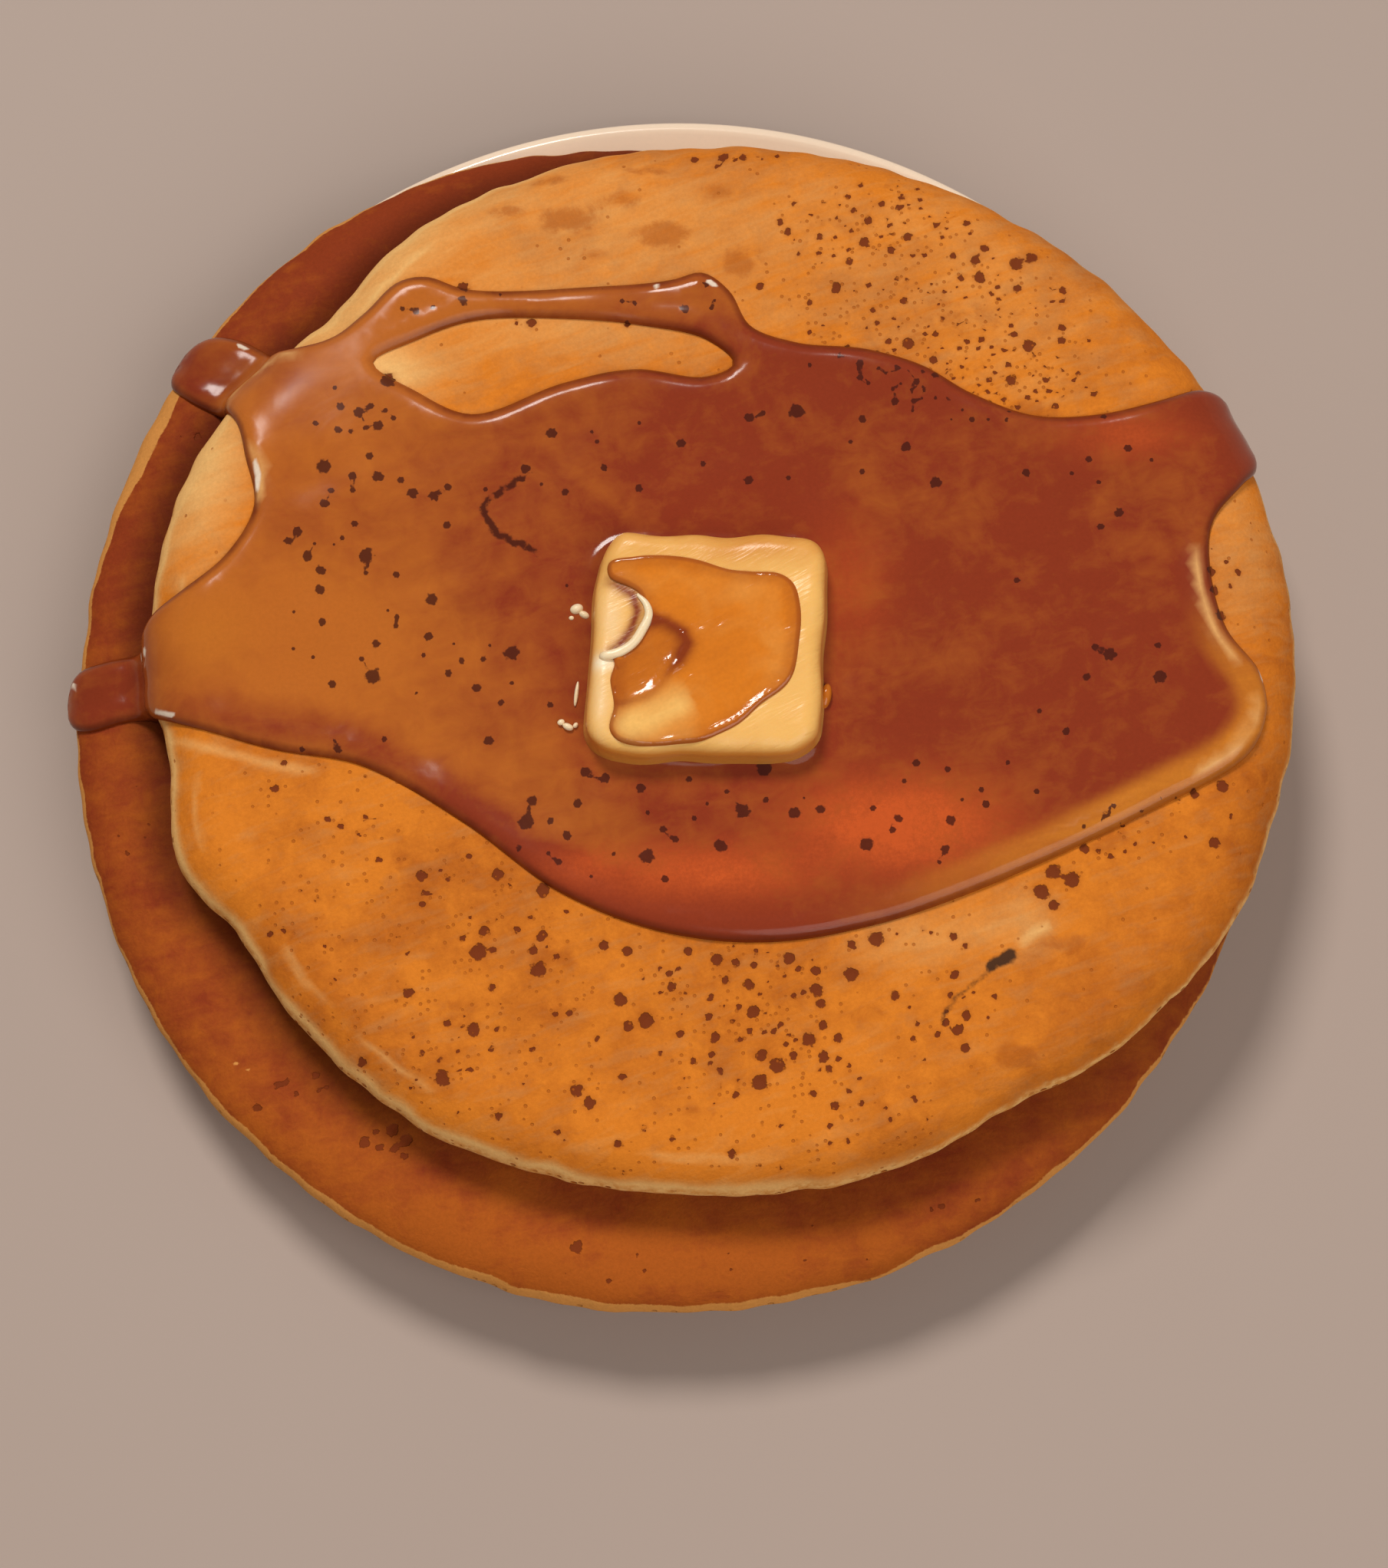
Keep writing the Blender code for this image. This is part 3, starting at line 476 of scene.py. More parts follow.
class Pancake:
    """A round cake between what it lies on and its own top, with a rounded, waved edge."""

    def __init__(self, centre, half_size, waves, base, top, seed):
        self.centre = centre
        self.half_size = half_size
        self.waves = waves
        self.base = base
        self.top = top
        self.seed = seed

    def edge_radius(self, angle):
        """Distance from the centre to the edge: an ellipse with bumps, dents and a crimp."""
        half_x, half_y = self.half_size
        radius = half_x * half_y / np.hypot(half_y * np.cos(angle), half_x * np.sin(angle))
        for degrees, spread, height in self.waves:
            away = (angle - math.radians(degrees) + math.pi) % math.tau - math.pi
            radius = radius + height * bell(away, math.radians(spread))
        return radius - CRIMP * crimped(angle, self.seed)

    def inward(self, x, y):
        """Distance from the edge towards the centre."""
        across, along = x - self.centre[0], y - self.centre[1]
        return self.edge_radius(np.arctan2(along, across)) - np.hypot(across, along)

    def bulge(self, x, y):
        """Height at which the side is widest."""
        base = self.base(x, y)
        return base + BULGE * (self.top(x, y) - base)

    def skin(self, x, y):
        """Height of the upper face, rounded down to the bulge at the edge."""
        bulge = self.bulge(x, y)
        return bulge + (self.top(x, y) - bulge) * quarter_round(self.inward(x, y) / SHOULDER)

    def underside(self, x, y):
        """Height of the lower face, rounded up to the bulge at the edge."""
        bulge = self.bulge(x, y)
        return bulge - (bulge - self.base(x, y)) * quarter_round(self.inward(x, y) / UNDER_ROUND)

    def plan(self, angle, radius):
        """The x and y of a place given by its angle and radius about the centre."""
        return self.centre[0] + radius * np.cos(angle), self.centre[1] + radius * np.sin(angle)


def lower_base(x, y):
    """The lower pancake follows the plate, level beyond its rim."""
    return plate_top(x, y) + 0.1


def lower_top(x, y):
    """Top of the lower pancake, a little uneven."""
    uneven = SWELL * swell(x, y, SWELL_LENGTH, 0.6)
    return LOWER_TOP_HEIGHT + uneven + UNEVEN * (ripples(x, y, 13.0, 5) - 1.0)


def upper_base(x, y):
    """The upper pancake lies on the lower one's highest places and droops past its edge."""
    reach = np.hypot(x - LOWER_CENTRE[0], y - LOWER_CENTRE[1])
    share = np.clip((reach - DROOP_START) / (DROOP_END - DROOP_START), 0.0, None)
    return LOWER_TOP_HEIGHT + SWELL + GAP - DROOP * share ** 2


def upper_top(x, y):
    """Top of the upper pancake, a little uneven."""
    top = upper_base(x, y) + UPPER_THICKNESS + SWELL * swell(x, y, SWELL_LENGTH, 2.1)
    return top + UNEVEN * (ripples(x, y, 11.0, 6) - 1.0)


LOWER = Pancake(LOWER_CENTRE, LOWER_HALF_SIZE, LOWER_WAVES, lower_base, lower_top, 3)
UPPER = Pancake(UPPER_CENTRE, UPPER_HALF_SIZE, UPPER_WAVES, upper_base, upper_top, 4)


def scatter_pores(clusters, seed):
    """Middles and radii of pores: spread normally about each cluster's middle, kept apart."""
    rng = np.random.default_rng(seed)
    middles, radii = np.empty((0, 2)), np.empty(0)
    for x, y, half_x, half_y, count, usual in clusters:
        spread = (PORE_SPREAD * half_x, PORE_SPREAD * half_y)
        for _ in range(count):
            size = PORE_SCALE * usual * np.exp(PORE_VARIETY * rng.normal())
            radius = float(np.clip(size, *PORE_RADII))
            for _ in range(PORE_TRIES):
                away = np.clip(rng.normal(size=2), -PORE_REACH, PORE_REACH) * spread
                middle = np.array([x, y]) + away
                apart = np.hypot(*(middles - middle).T) - radii - radius
                if not len(apart) or apart.min() > PORE_GAP:
                    middles, radii = np.vstack([middles, middle]), np.append(radii, radius)
                    break
    return middles, radii


def pore_field(x, y, pores):
    """Distance to the nearest pore's middle as a share of its radius, at most PORE_FAR."""
    nearest = np.full(x.shape, PORE_FAR)
    for (middle_x, middle_y), radius in zip(*pores):
        nearest = np.minimum(nearest, np.hypot(x - middle_x, y - middle_y) / radius)
    return nearest


def pore_dent(field):
    """Depth of the dents, from 1 in a pore's middle to 0 at its border: a squared bowl."""
    return np.clip(1.0 - (field / DENT_END) ** 2, 0.0, 1.0) ** 2


def blots(x, y, places):
    """Sum of soft oval blots, each with a middle, half sizes and strength."""
    total = np.zeros_like(x)
    for middle_x, middle_y, half_x, half_y, strength in places:
        away = ((x - middle_x) / half_x) ** 2 + ((y - middle_y) / half_y) ** 2
        total += strength * np.exp(-away)
    return total


def path_distance(x, y, path):
    """Distance to an open line through some points, and the share of its length there."""
    path = np.array(path, dtype=float)
    sizes = np.linalg.norm(np.diff(path, axis=0), axis=1)
    starts = np.concatenate([[0.0], np.cumsum(sizes)])
    nearest, share_there = np.full(x.shape, np.inf), np.zeros(x.shape)
    for index, size in enumerate(sizes):
        side = (path[index + 1] - path[index]) / size
        across, along = x - path[index, 0], y - path[index, 1]
        reach = np.clip(across * side[0] + along * side[1], 0.0, size)
        away = np.hypot(across - reach * side[0], along - reach * side[1])
        closer = away < nearest
        nearest = np.where(closer, away, nearest)
        share_there = np.where(closer, (starts[index] + reach) / starts[-1], share_there)
    return nearest, share_there


def stroke(x, y, path, width):
    """A soft line along a path: a bell curve of the distance, fading out at both ends."""
    away, share = path_distance(x, y, path)
    start, end = (np.clip(STROKE_FADE * part, 0.0, 1.0) ** 0.5 for part in (share, 1.0 - share))
    return bell(away, width) * start * end


# Meshes


def build_mesh(name, points, quads, triangles):
    """A smooth mesh from points in millimetres of the plan and its faces."""
    mesh = bpy.data.meshes.new(name)
    corners = np.concatenate([np.ravel(quads), np.ravel(triangles)]).astype(np.int32)
    totals = np.concatenate([np.full(len(quads), 4), np.full(len(triangles), 3)])
    starts = np.concatenate([[0], np.cumsum(totals)[:-1]]).astype(np.int32)
    mesh.vertices.add(len(points))
    mesh.vertices.foreach_set("co", ((points + SHIFT) * MM).astype(np.float32).ravel())
    mesh.loops.add(len(corners))
    mesh.loops.foreach_set("vertex_index", corners)
    mesh.polygons.add(len(totals))
    mesh.polygons.foreach_set("loop_start", starts)
    mesh.update(calc_edges=True)
    if mesh.validate():
        raise RuntimeError(f"{name}: the mesh had faults")
    mesh.shade_smooth()
    return mesh


def add_object(name, data):
    """An object at the origin, linked to the scene."""
    item = bpy.data.objects.new(name, data)
    bpy.context.scene.collection.objects.link(item)
    return item


def add_piece(name, mesh, material, nodes, fields):
    """An object for a mesh: its fields become attributes, and it rides on the stack."""
    for label, values in fields.items():
        attribute = mesh.attributes.new(label, "FLOAT", "POINT")
        attribute.data.foreach_set("value", np.ravel(values).astype(np.float32))
    piece = add_object(name, mesh)
    mesh.materials.append(material)
    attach(piece, BODY)
    if nodes:
        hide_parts(*nodes)


def ring_faces(levels, sides):
    """Quads between rings of equal count, and triangles to a pole at each end."""
    level = np.arange(levels - 1)[:, None] * sides
    here = np.arange(sides)[None, :]
    following = (here + 1) % sides
    corners = [level + here, level + following, level + sides + following, level + sides + here]
    quads = np.stack(corners, axis=-1).reshape(-1, 4)
    here, following = here[0], following[0]
    first, last, top = levels * sides, levels * sides + 1, (levels - 1) * sides
    low = np.stack([np.full(sides, first), following, here], axis=-1)
    high = np.stack([np.full(sides, last), top + here, top + following], axis=-1)
    return quads, np.vstack([low, high])


def rings_mesh(name, x, y, z, low_pole, high_pole):
    """A closed mesh from arrays of levels by sides, with a pole below and one above."""
    points = np.vstack([np.stack([x, y, z], axis=-1).reshape(-1, 3), [low_pole], [high_pole]])
    return build_mesh(name, points, *ring_faces(*x.shape))


def with_poles(values, low, high):
    """Values of the rings followed by those of the two poles."""
    return np.concatenate([np.ravel(values), [low, high]])


# Materials


class Level:
    """A number that varies over a surface: arithmetic on it adds Math nodes."""

    def __init__(self, tree, socket):
        self.tree = tree
        self.socket = socket

    def math(self, operation, first, second=0.0, clamp=False):
        """One Math node."""
        node = self.tree.nodes.new("ShaderNodeMath")
        node.operation = operation
        node.use_clamp = clamp
        for socket, value in zip(node.inputs, (first, second)):
            if isinstance(value, Level):
                self.tree.links.new(value.socket, socket)
            else:
                socket.default_value = value
        return Level(self.tree, node.outputs[0])

    def __add__(self, other):
        return self.math("ADD", self, other)

    def __sub__(self, other):
        return self.math("SUBTRACT", self, other)

    def __rsub__(self, other):
        return self.math("SUBTRACT", other, self)

    def __mul__(self, other):
        return self.math("MULTIPLY", self, other)

    __radd__ = __add__
    __rmul__ = __mul__

    def clamped(self):
        """The same, kept between 0 and 1."""
        return self.math("ADD", self, 0.0, clamp=True)

    def about(self, amount):
        """A noise that lies about a half, brought to lie about zero, times an amount."""
        return (self - 0.5) * amount

    def step(self, low, high):
        """A soft step from 0 at low to 1 at high, or down where low is above high."""
        node = self.tree.nodes.new("ShaderNodeMapRange")
        node.interpolation_type = "SMOOTHSTEP"
        ends = (low, high, 0.0, 1.0) if low < high else (high, low, 1.0, 0.0)
        self.tree.links.new(self.socket, node.inputs["Value"])
        for socket, value in zip(list(node.inputs)[1:5], ends):
            socket.default_value = value
        return Level(self.tree, node.outputs[0])


class Finish:
    """The nodes of one material. Places are in millimetres of the frame."""

    def __init__(self, name):
        self.material = bpy.data.materials.new(name)
        self.material.use_nodes = True
        self.tree = self.material.node_tree
        self.tree.nodes.clear()
        place = self.node("TexCoord").outputs["Object"]
        scaled = self.node("VectorMath", {"operation": "SCALE"}, {0: place, "Scale": 1.0 / MM})
        self.place = scaled.outputs[0]

    def node(self, kind, settings=None, values=None):
        """Any node, by its type, its settings and the values or links of its sockets."""
        node = self.tree.nodes.new("ShaderNode" + kind)
        for name, setting in (settings or {}).items():
            setattr(node, name, setting)
        for key, value in (values or {}).items():
            socket = node.inputs[key]
            if isinstance(value, Level):
                self.tree.links.new(value.socket, socket)
            elif isinstance(value, bpy.types.NodeSocket):
                self.tree.links.new(value, socket)
            elif socket.type == "RGBA" and len(value) == 3:
                socket.default_value = (*value, 1.0)
            else:
                socket.default_value = value
        return node

    def field(self, name):
        """A field of the mesh."""
        node = self.node("Attribute", {"attribute_name": name})
        return Level(self.tree, node.outputs["Fac"])

    def noise(self, size, detail=2.0, rough=0.5, distortion=0.0, place=None):
        """Cloudy noise with features of about a size in millimetres."""
        values = {
            "Vector": place or self.place, "Scale": 1.0 / size, "Detail": detail,
            "Roughness": rough, "Distortion": distortion,
        }
        return Level(self.tree, self.node("TexNoise", None, values).outputs[0])

    def cells(self, size):
        """Distance to the nearest point of a jittered grid, and a random number of its own."""
        values = {"Vector": self.place, "Scale": 1.0 / size, "Randomness": 1.0}
        node = self.node("TexVoronoi", None, values)
        split = self.node("SeparateColor", None, {0: node.outputs["Color"]})
        return Level(self.tree, node.outputs["Distance"]), Level(self.tree, split.outputs[0])

    def stretched(self, x, y, z, turn=0.0):
        """The place drawn out along the axes, for streaks."""
        values = {"Vector": self.place, "Rotation": (0.0, 0.0, turn), "Scale": (x, y, z)}
        return self.node("Mapping", {"vector_type": "TEXTURE"}, values).outputs[0]

    def crumb_holes(self, size, side, low, high):
        """Bubbles of an open crumb, on the part of the side between two shares of it."""
        distance, pick = self.cells(size)
        return distance.step(0.34, 0.20) * pick.step(0.45, 0.65) * side.step(low, high)

    def wander(self):
        """A small noise that frays the borders of pores and marks."""
        return self.noise(0.9, 2.0, 0.6).about(1.3)

    def mix(self, share, first, second):
        """A colour between two, by a share."""
        values = {0: share, 6: first, 7: second}
        return self.node("Mix", {"data_type": "RGBA"}, values).outputs[2]

    def tinted(self, colour, level):
        """A colour made lighter or darker by a level about 1."""
        values = {0: colour, "Scale": level}
        return self.node("VectorMath", {"operation": "SCALE"}, values).outputs[0]

    def bump(self, height):
        """A normal from heights in millimetres."""
        return self.node("Bump", None, {"Height": height, "Distance": MM}).outputs[0]

    def surface(self, values):
        """The Principled shader and the output."""
        shader = self.node("BsdfPrincipled", None, values)
        output = self.node("OutputMaterial")
        self.tree.links.new(shader.outputs[0], output.inputs["Surface"])
        return self.material


def glaze_finish(settings):
    """Cream glaze with faint clouds and a few iron specks, on a bare foot."""
    finish = Finish("cream_glaze")
    clouds = finish.noise(26.0, 3.0)
    fine = finish.noise(0.6, 2.0)
    distance, pick = finish.cells(3.4)
    specks = distance.step(0.09, 0.05) * pick.step(0.80, 0.82)
    colour = finish.tinted(settings.glaze, clouds * 0.16 + fine * 0.04 + 0.90)
    iron = (0.30, 0.17, 0.09)
    colour = finish.mix(specks * 0.6, colour, iron)
    foot = finish.field("foot")
    colour = finish.mix(foot, colour, settings.foot)
    return finish.surface({
        "Base Color": colour,
        "Roughness": foot * 0.5 + clouds * 0.08 + 0.16,
        "Normal": finish.bump(fine * 0.010 + clouds * 0.05),
        "Coat Weight": 0.4,
        "Coat Roughness": 0.05,
    })


def upper_crust_finish(settings):
    """Golden crust: browned clouds, dark pores, cream rims that are partly a painted highlight
    along the left edge, and a soft porous side.
    """
    finish = Finish("golden_crust")
    clouds = finish.noise(16.0, 3.0, 0.6)
    mottle = finish.noise(3.4, 4.0, 0.65, 0.4)
    strokes = finish.noise(1.0, 3.0, 0.6, 0.5, finish.stretched(9.0, 1.8, 4.0, 0.35))
    grain = finish.noise(0.5, 3.0, 0.7)
    tone = finish.field("tone") + clouds.about(2.2) + mottle.about(1.5)
    tone = tone + strokes.about(0.6)
    colour = finish.mix(tone.clamped(), settings.golden, settings.brown)
    # Pale places of the bare crust, and a painted highlight along the left edge.
    pale = finish.field("pale") + strokes.about(0.6) + mottle.about(0.3)
    colour = finish.mix(pale.clamped(), colour, settings.cream)
    smudge = (finish.field("smudge") + mottle.about(1.1) + grain.about(0.6)).step(0.30, 0.75)
    colour = finish.mix(smudge * 0.62, colour, settings.brown)
    side = finish.field("side")
    crumb_noise = finish.noise(1.5, 4.0, 0.7)
    crumb = finish.mix(crumb_noise.step(0.38, 0.60), settings.crumb, settings.cream)
    holes = finish.crumb_holes(1.5, side, 0.72, 0.9)
    crumb = finish.mix(holes, crumb, settings.brown)
    crumb_share = (side + mottle.about(0.35)).step(0.60, 0.85)
    colour = finish.mix(crumb_share, colour, crumb)
    colour = finish.tinted(colour, grain * 0.36 + 0.82)
    wander = finish.wander()
    pore = (finish.field("pore") + wander).step(1.12, 0.90)
    halo = (finish.field("pore") + wander * 0.5).step(2.0, 1.0)
    colour = finish.mix(halo * 0.28, colour, settings.brown)
    colour = finish.mix(pore * 0.96, colour, settings.pore)
    distance, pick = finish.cells(1.05)
    density = finish.field("dust") + clouds.about(0.4)
    dust = (distance + wander * 0.1).step(0.26, 0.16) * (pick - density * 0.8).step(0.10, 0.02)
    colour = finish.mix(dust * 0.7, colour, settings.brown)
    charred = (finish.field("charred") + wander * 0.42).step(0.30, 0.80)
    colour = finish.mix(charred * 0.94, colour, settings.charred)
    relief = grain * 0.05 + mottle * 0.16 + strokes * 0.06 - pore * 0.12 - dust * 0.08
    relief = relief - holes * 0.3
    return finish.surface({
        "Base Color": colour,
        "Roughness": mottle * 0.2 + 0.60,
        "Normal": finish.bump(relief),
        "Specular IOR Level": 0.07,
    })


def lower_crust_finish(settings):
    """Dark, red-brown crust with a golden rim line and a lighter zone at the front, partly painted
    light where the upper pancake's shadow falls, and painted shade beside that pancake's edge.
    """
    finish = Finish("dark_crust")
    clouds = finish.noise(10.0, 3.0, 0.6)
    mottle = finish.noise(2.4, 4.0, 0.65, 0.5)
    grain = finish.noise(0.45, 3.0, 0.7)
    strokes = finish.noise(1.0, 3.0, 0.6, 0.5, finish.stretched(12.0, 2.0, 4.0, 0.15))
    # The lighter zone is partly the golden crust and partly painted light that lifts the upper
    # pancake's shadow.
    lighter = finish.field("lighter") + clouds.about(2.0) + mottle.about(1.2)
    lighter = lighter + strokes.about(1.0)
    colour = finish.mix(lighter.clamped(), settings.lower_crust, settings.lower_gold)
    # Painted shade: darker beside the upper pancake's edge.
    colour = finish.tinted(colour, 1.0 - finish.field("shade") * 0.5)
    side = finish.field("side")
    holes = finish.crumb_holes(1.4, side, 0.75, 0.92)
    crumb = finish.mix(holes, settings.lower_crumb, settings.brown)
    colour = finish.mix((side + mottle.about(0.4)).step(0.72, 0.92), colour, crumb)
    rim = finish.field("rim") + mottle.about(0.8) + grain.about(0.3)
    colour = finish.mix(rim.step(0.40, 0.66) * 0.85, colour, settings.crumb)
    colour = finish.tinted(colour, grain * 0.40 + 0.80)
    wander = finish.wander()
    pore = (finish.field("pore") + wander).step(1.12, 0.90)
    colour = finish.mix(pore * 0.9, colour, settings.pore)
    relief = grain * 0.05 + mottle * 0.18 - pore * 0.12 - holes * 0.3
    return finish.surface({
        "Base Color": colour,
        "Roughness": mottle * 0.2 + 0.58,
        "Normal": finish.bump(relief),
        "Specular IOR Level": 0.05,
    })


def syrup_finish(settings):
    """Clear brown syrup: golden where thin, red-brown where deep, with a painted glow where light
    gathers, a dark line along its border that is partly painted shade where the bead bends the
    light, and painted highlights near the border.
    """
    finish = Finish("brown_syrup")
    clouds = finish.noise(15.0, 3.0, 0.6, 0.8)
    streaks = finish.noise(1.0, 4.0, 0.65, 0.9, finish.stretched(11.0, 3.6, 6.0, 0.25))
    mottle = finish.noise(4.5, 4.0, 0.65, 0.5)
    fine = finish.noise(1.1, 2.0)
    grain = finish.noise(0.5, 3.0, 0.7)
    deep = finish.field("deep") + clouds.about(1.0) + streaks.about(0.5)
    deep = (deep + mottle.about(0.9) + grain.about(0.3)).clamped()
    colour = finish.mix(deep, settings.thin, settings.deep)
    # Painted light: a glow where light gathers in the syrup.
    glow = finish.field("glow") * (mottle * 1.5 + grain * 0.8 - 0.15)
    colour = finish.mix(glow.clamped() * 0.9, colour, settings.glow)
    gold = (finish.field("gold") * (streaks + 0.5)).clamped()
    colour = finish.mix(gold, colour, settings.gold)
    # Partly painted shade: the dark line along the border stands for the dark edge of the bead
    # where it bends the light.
    border = finish.field("border")
    border_share = (border * (mottle * 0.9 + 0.30)).clamped()
    colour = finish.mix(border_share, colour, settings.line)
    wander = finish.wander()
    pore = (finish.field("pore") + wander).step(1.14, 0.90)
    colour = finish.mix(pore * 0.88, colour, settings.pore)
    vein = (finish.field("vein") + wander * 0.6).step(0.42, 0.70)
    colour = finish.mix(vein * 0.9, colour, settings.pore)
    # Painted highlights: pale curves and bright glints near the border.
    shine = finish.field("shine") * (mottle + 0.5)
    colour = finish.mix(shine.clamped() * 0.8, colour, settings.shine)
    painted_glint = (finish.field("painted_glint") + wander * 0.15).step(0.25, 0.75)
    colour = finish.mix(painted_glint * 0.9, colour, settings.painted_glint)
    alpha = deep * 0.12 + 0.84 + border * 0.12 + pore * 0.1
    return finish.surface({
        "Base Color": finish.tinted(colour, grain * 0.24 + 0.88),
        "Roughness": finish.field("rough") + fine * 0.03,
        "Alpha": alpha.clamped(),
        "Normal": finish.bump(clouds * 0.12 + fine * 0.005),
        "IOR": 1.45,
        "Specular IOR Level": 0.3,
    })


def butter_finish(settings):
    """Softened butter: pale with warmer sides, its front darker as painted shade, a white fold and
    faint smears.
    """
    finish = Finish("soft_butter")
    clouds = finish.noise(7.0, 3.0, 0.5, 0.5)
    smears = finish.noise(1.0, 3.0, 0.6, 0.3, finish.stretched(7.0, 1.3, 3.0, 0.5))
    fine = finish.noise(0.5, 2.0)
    # Warmer sides, and painted shade on the front.
    warm = finish.field("warm") + clouds.about(0.6) + smears.about(0.5)
    colour = finish.mix(warm.clamped(), settings.pale, settings.warm)
    white = finish.field("white") + smears.about(0.5) * finish.field("white")
    colour = finish.mix(white.clamped(), colour, settings.white)
    # Painted shade: a dark line at the pat's foot and beside the curl at the notch.
    line = finish.field("line") + fine.about(0.4) * finish.field("line")
    colour = finish.mix(line.clamped(), colour, settings.film_line)
    return finish.surface({
        "Base Color": colour,
        "Roughness": smears * 0.15 + 0.24,
        "Normal": finish.bump(smears * 0.14 + fine * 0.02),
        "Specular IOR Level": 0.4,
        "Subsurface Weight": 0.12,
        "Subsurface Radius": (1.0, 0.6, 0.3),
        "Subsurface Scale": 0.002,
    })


def film_finish(settings):
    """Melted butter with syrup: orange and glossy, brown in its fold, darker at its border, with a
    pale sweep that is a painted reflection.
    """
    finish = Finish("melted_film")
    clouds = finish.noise(7.0, 3.0, 0.5, 0.8)
    smears = finish.noise(1.0, 3.0, 0.6, 0.3, finish.stretched(6.0, 1.2, 3.0, 0.5))
    fine = finish.noise(0.5, 2.0)
    pale = finish.field("pale") + smears.about(0.7) * finish.field("pale")
    pale = pale + clouds.about(0.5)
    colour = finish.mix(pale.clamped(), settings.film, settings.pale)
    dark = finish.field("dark") + smears.about(0.3)
    colour = finish.mix(dark.clamped(), colour, settings.film_line)
    border = finish.field("border") + fine.about(0.4) * finish.field("border")
    colour = finish.mix(border.clamped() * 0.9, colour, settings.film_line)
    return finish.surface({
        "Base Color": finish.tinted(colour, fine * 0.2 + 0.9),
        "Roughness": clouds * 0.05 + 0.08,
        "Normal": finish.bump(clouds * 0.3 + smears * 0.06),
        "IOR": 1.45,
    })


def floor_finish(settings):
    """Plain pale floor with a faint cloudiness."""
    finish = Finish("pale_floor")
    clouds = finish.noise(160.0, 3.0)
    return finish.surface({
        "Base Color": finish.tinted(settings.floor, clouds * 0.10 + 0.95),
        "Roughness": clouds * 0.1 + 0.5,
    })


# Plate


def plate_profile():
    """Radius and height from the underside's middle out round the rim and back in.

    The foot is a trapezoid with rounded corners, the rim a round that meets the upper face,
    and the upper face follows plate_top. Where the profile turns, it follows quarter circles.
    """
    under_well = PLATE_WELL_HEIGHT - PLATE_THICKNESS
    foot_inner = FOOT_RADIUS - FOOT_WIDTH
    turn = np.linspace(0.0, 0.5 * math.pi, 6)
    sine, cosine = np.sin(turn), np.cos(turn)
    rim_radius = PLATE_RADIUS - PLATE_RIM_ROUND
    lip = np.linspace(-0.9, 0.5 * math.pi, 12)
    start = np.linspace(8.0, foot_inner - 2.2, 5)
    out = np.linspace(FOOT_RADIUS + 1.2, rim_radius - 1.2, 20)
    back = np.linspace(rim_radius - 0.8, 4.0, 44)
    parts = (
        (start, np.full(5, under_well)),
        (foot_inner - FOOT_ROOT_ROUND * (1.0 - sine), FOOT_EDGE_ROUND + FOOT_ROOT_ROUND * cosine),
        (foot_inner + FOOT_EDGE_ROUND * (1.0 - cosine[1:]), FOOT_EDGE_ROUND * (1.0 - sine[1:])),
        (FOOT_RADIUS - FOOT_EDGE_ROUND * (1.0 - sine), FOOT_EDGE_ROUND * (1.0 - cosine)),
        (out, plate_top(PLATE_CENTRE[0] + out, PLATE_CENTRE[1]) - PLATE_THICKNESS),
        (PLATE_RADIUS - LIP_ROUND * (1.0 - np.cos(lip)),
         PLATE_RIM_HEIGHT - LIP_ROUND * (1.0 - np.sin(lip))),
        (back, plate_top(PLATE_CENTRE[0] + back, PLATE_CENTRE[1])),
    )
    return np.hstack(parts).T


def make_plate(settings):
    """The plate, turned about its own axis: its profile carried round a circle."""
    profile = plate_profile()
    angle = around(PLATE_SIDES)
    x = PLATE_CENTRE[0] + profile[:, :1] * np.cos(angle)
    y = PLATE_CENTRE[1] + profile[:, :1] * np.sin(angle)
    z = np.repeat(profile[:, 1:], PLATE_SIDES, axis=1)
    below = (*PLATE_CENTRE, PLATE_WELL_HEIGHT - PLATE_THICKNESS)
    above = (*PLATE_CENTRE, PLATE_WELL_HEIGHT)
    mesh = rings_mesh("plate_glazed", x, y, z, below, above)
    foot = with_poles(smooth_step(-z, -0.5, -0.2), 0.0, 0.0)
    finish = glaze_finish(settings)
    add_piece("plate_glazed", mesh, finish, ["plate"], {"foot": foot})


# Pancakes


def pancake_rings(pancake, top_reach, top_step):
    """Arrays of a pancake's rings: from its underside's middle, round the edge, up and in.

    A ring lies at a distance inward of the edge, following a quarter circle round the
    side, and on the flat parts at a share of the radius.
    """
    angle = around(PANCAKE_SIDES)
    edge = pancake.edge_radius(angle)
    under_turn = np.linspace(0.5 * math.pi, 0.0, UNDER_STEPS + 1)[:-1]
    over_turn = np.linspace(0.0, 0.5 * math.pi, OVER_STEPS)
    steps = int(top_reach / top_step)
    top_share = 1.0 - np.linspace(0.0, top_reach, steps + 1)[1:] / (np.mean(edge) - SHOULDER)
    top_share = np.concatenate([top_share, top_share[-1] * np.array(MIDDLE_SHARES)])
    inward = np.concatenate([
        np.full(len(UNDER_SHARES), UNDER_ROUND), UNDER_ROUND * (1.0 - np.cos(under_turn)),
        SHOULDER * (1.0 - np.cos(over_turn)), np.full(len(top_share), SHOULDER),
    ])
    share = np.concatenate([UNDER_SHARES, np.ones(UNDER_STEPS + OVER_STEPS), top_share])
    is_top = (np.arange(len(share)) >= len(UNDER_SHARES) + UNDER_STEPS)[:, None]
    radius = (edge[None, :] - inward[:, None]) * share[:, None]
    x, y = pancake.plan(angle[None, :], radius)
    z = np.where(is_top, pancake.skin(x, y), pancake.underside(x, y))
    return x, y, z, is_top


def side_share(pancake, x, y, z):
    """How much a place belongs to the side: 1 from the bulge down, 0 on the top."""
    top, bulge = pancake.top(x, y), pancake.bulge(x, y)
    return np.clip((top - z) / (top - bulge), 0.0, 1.0)


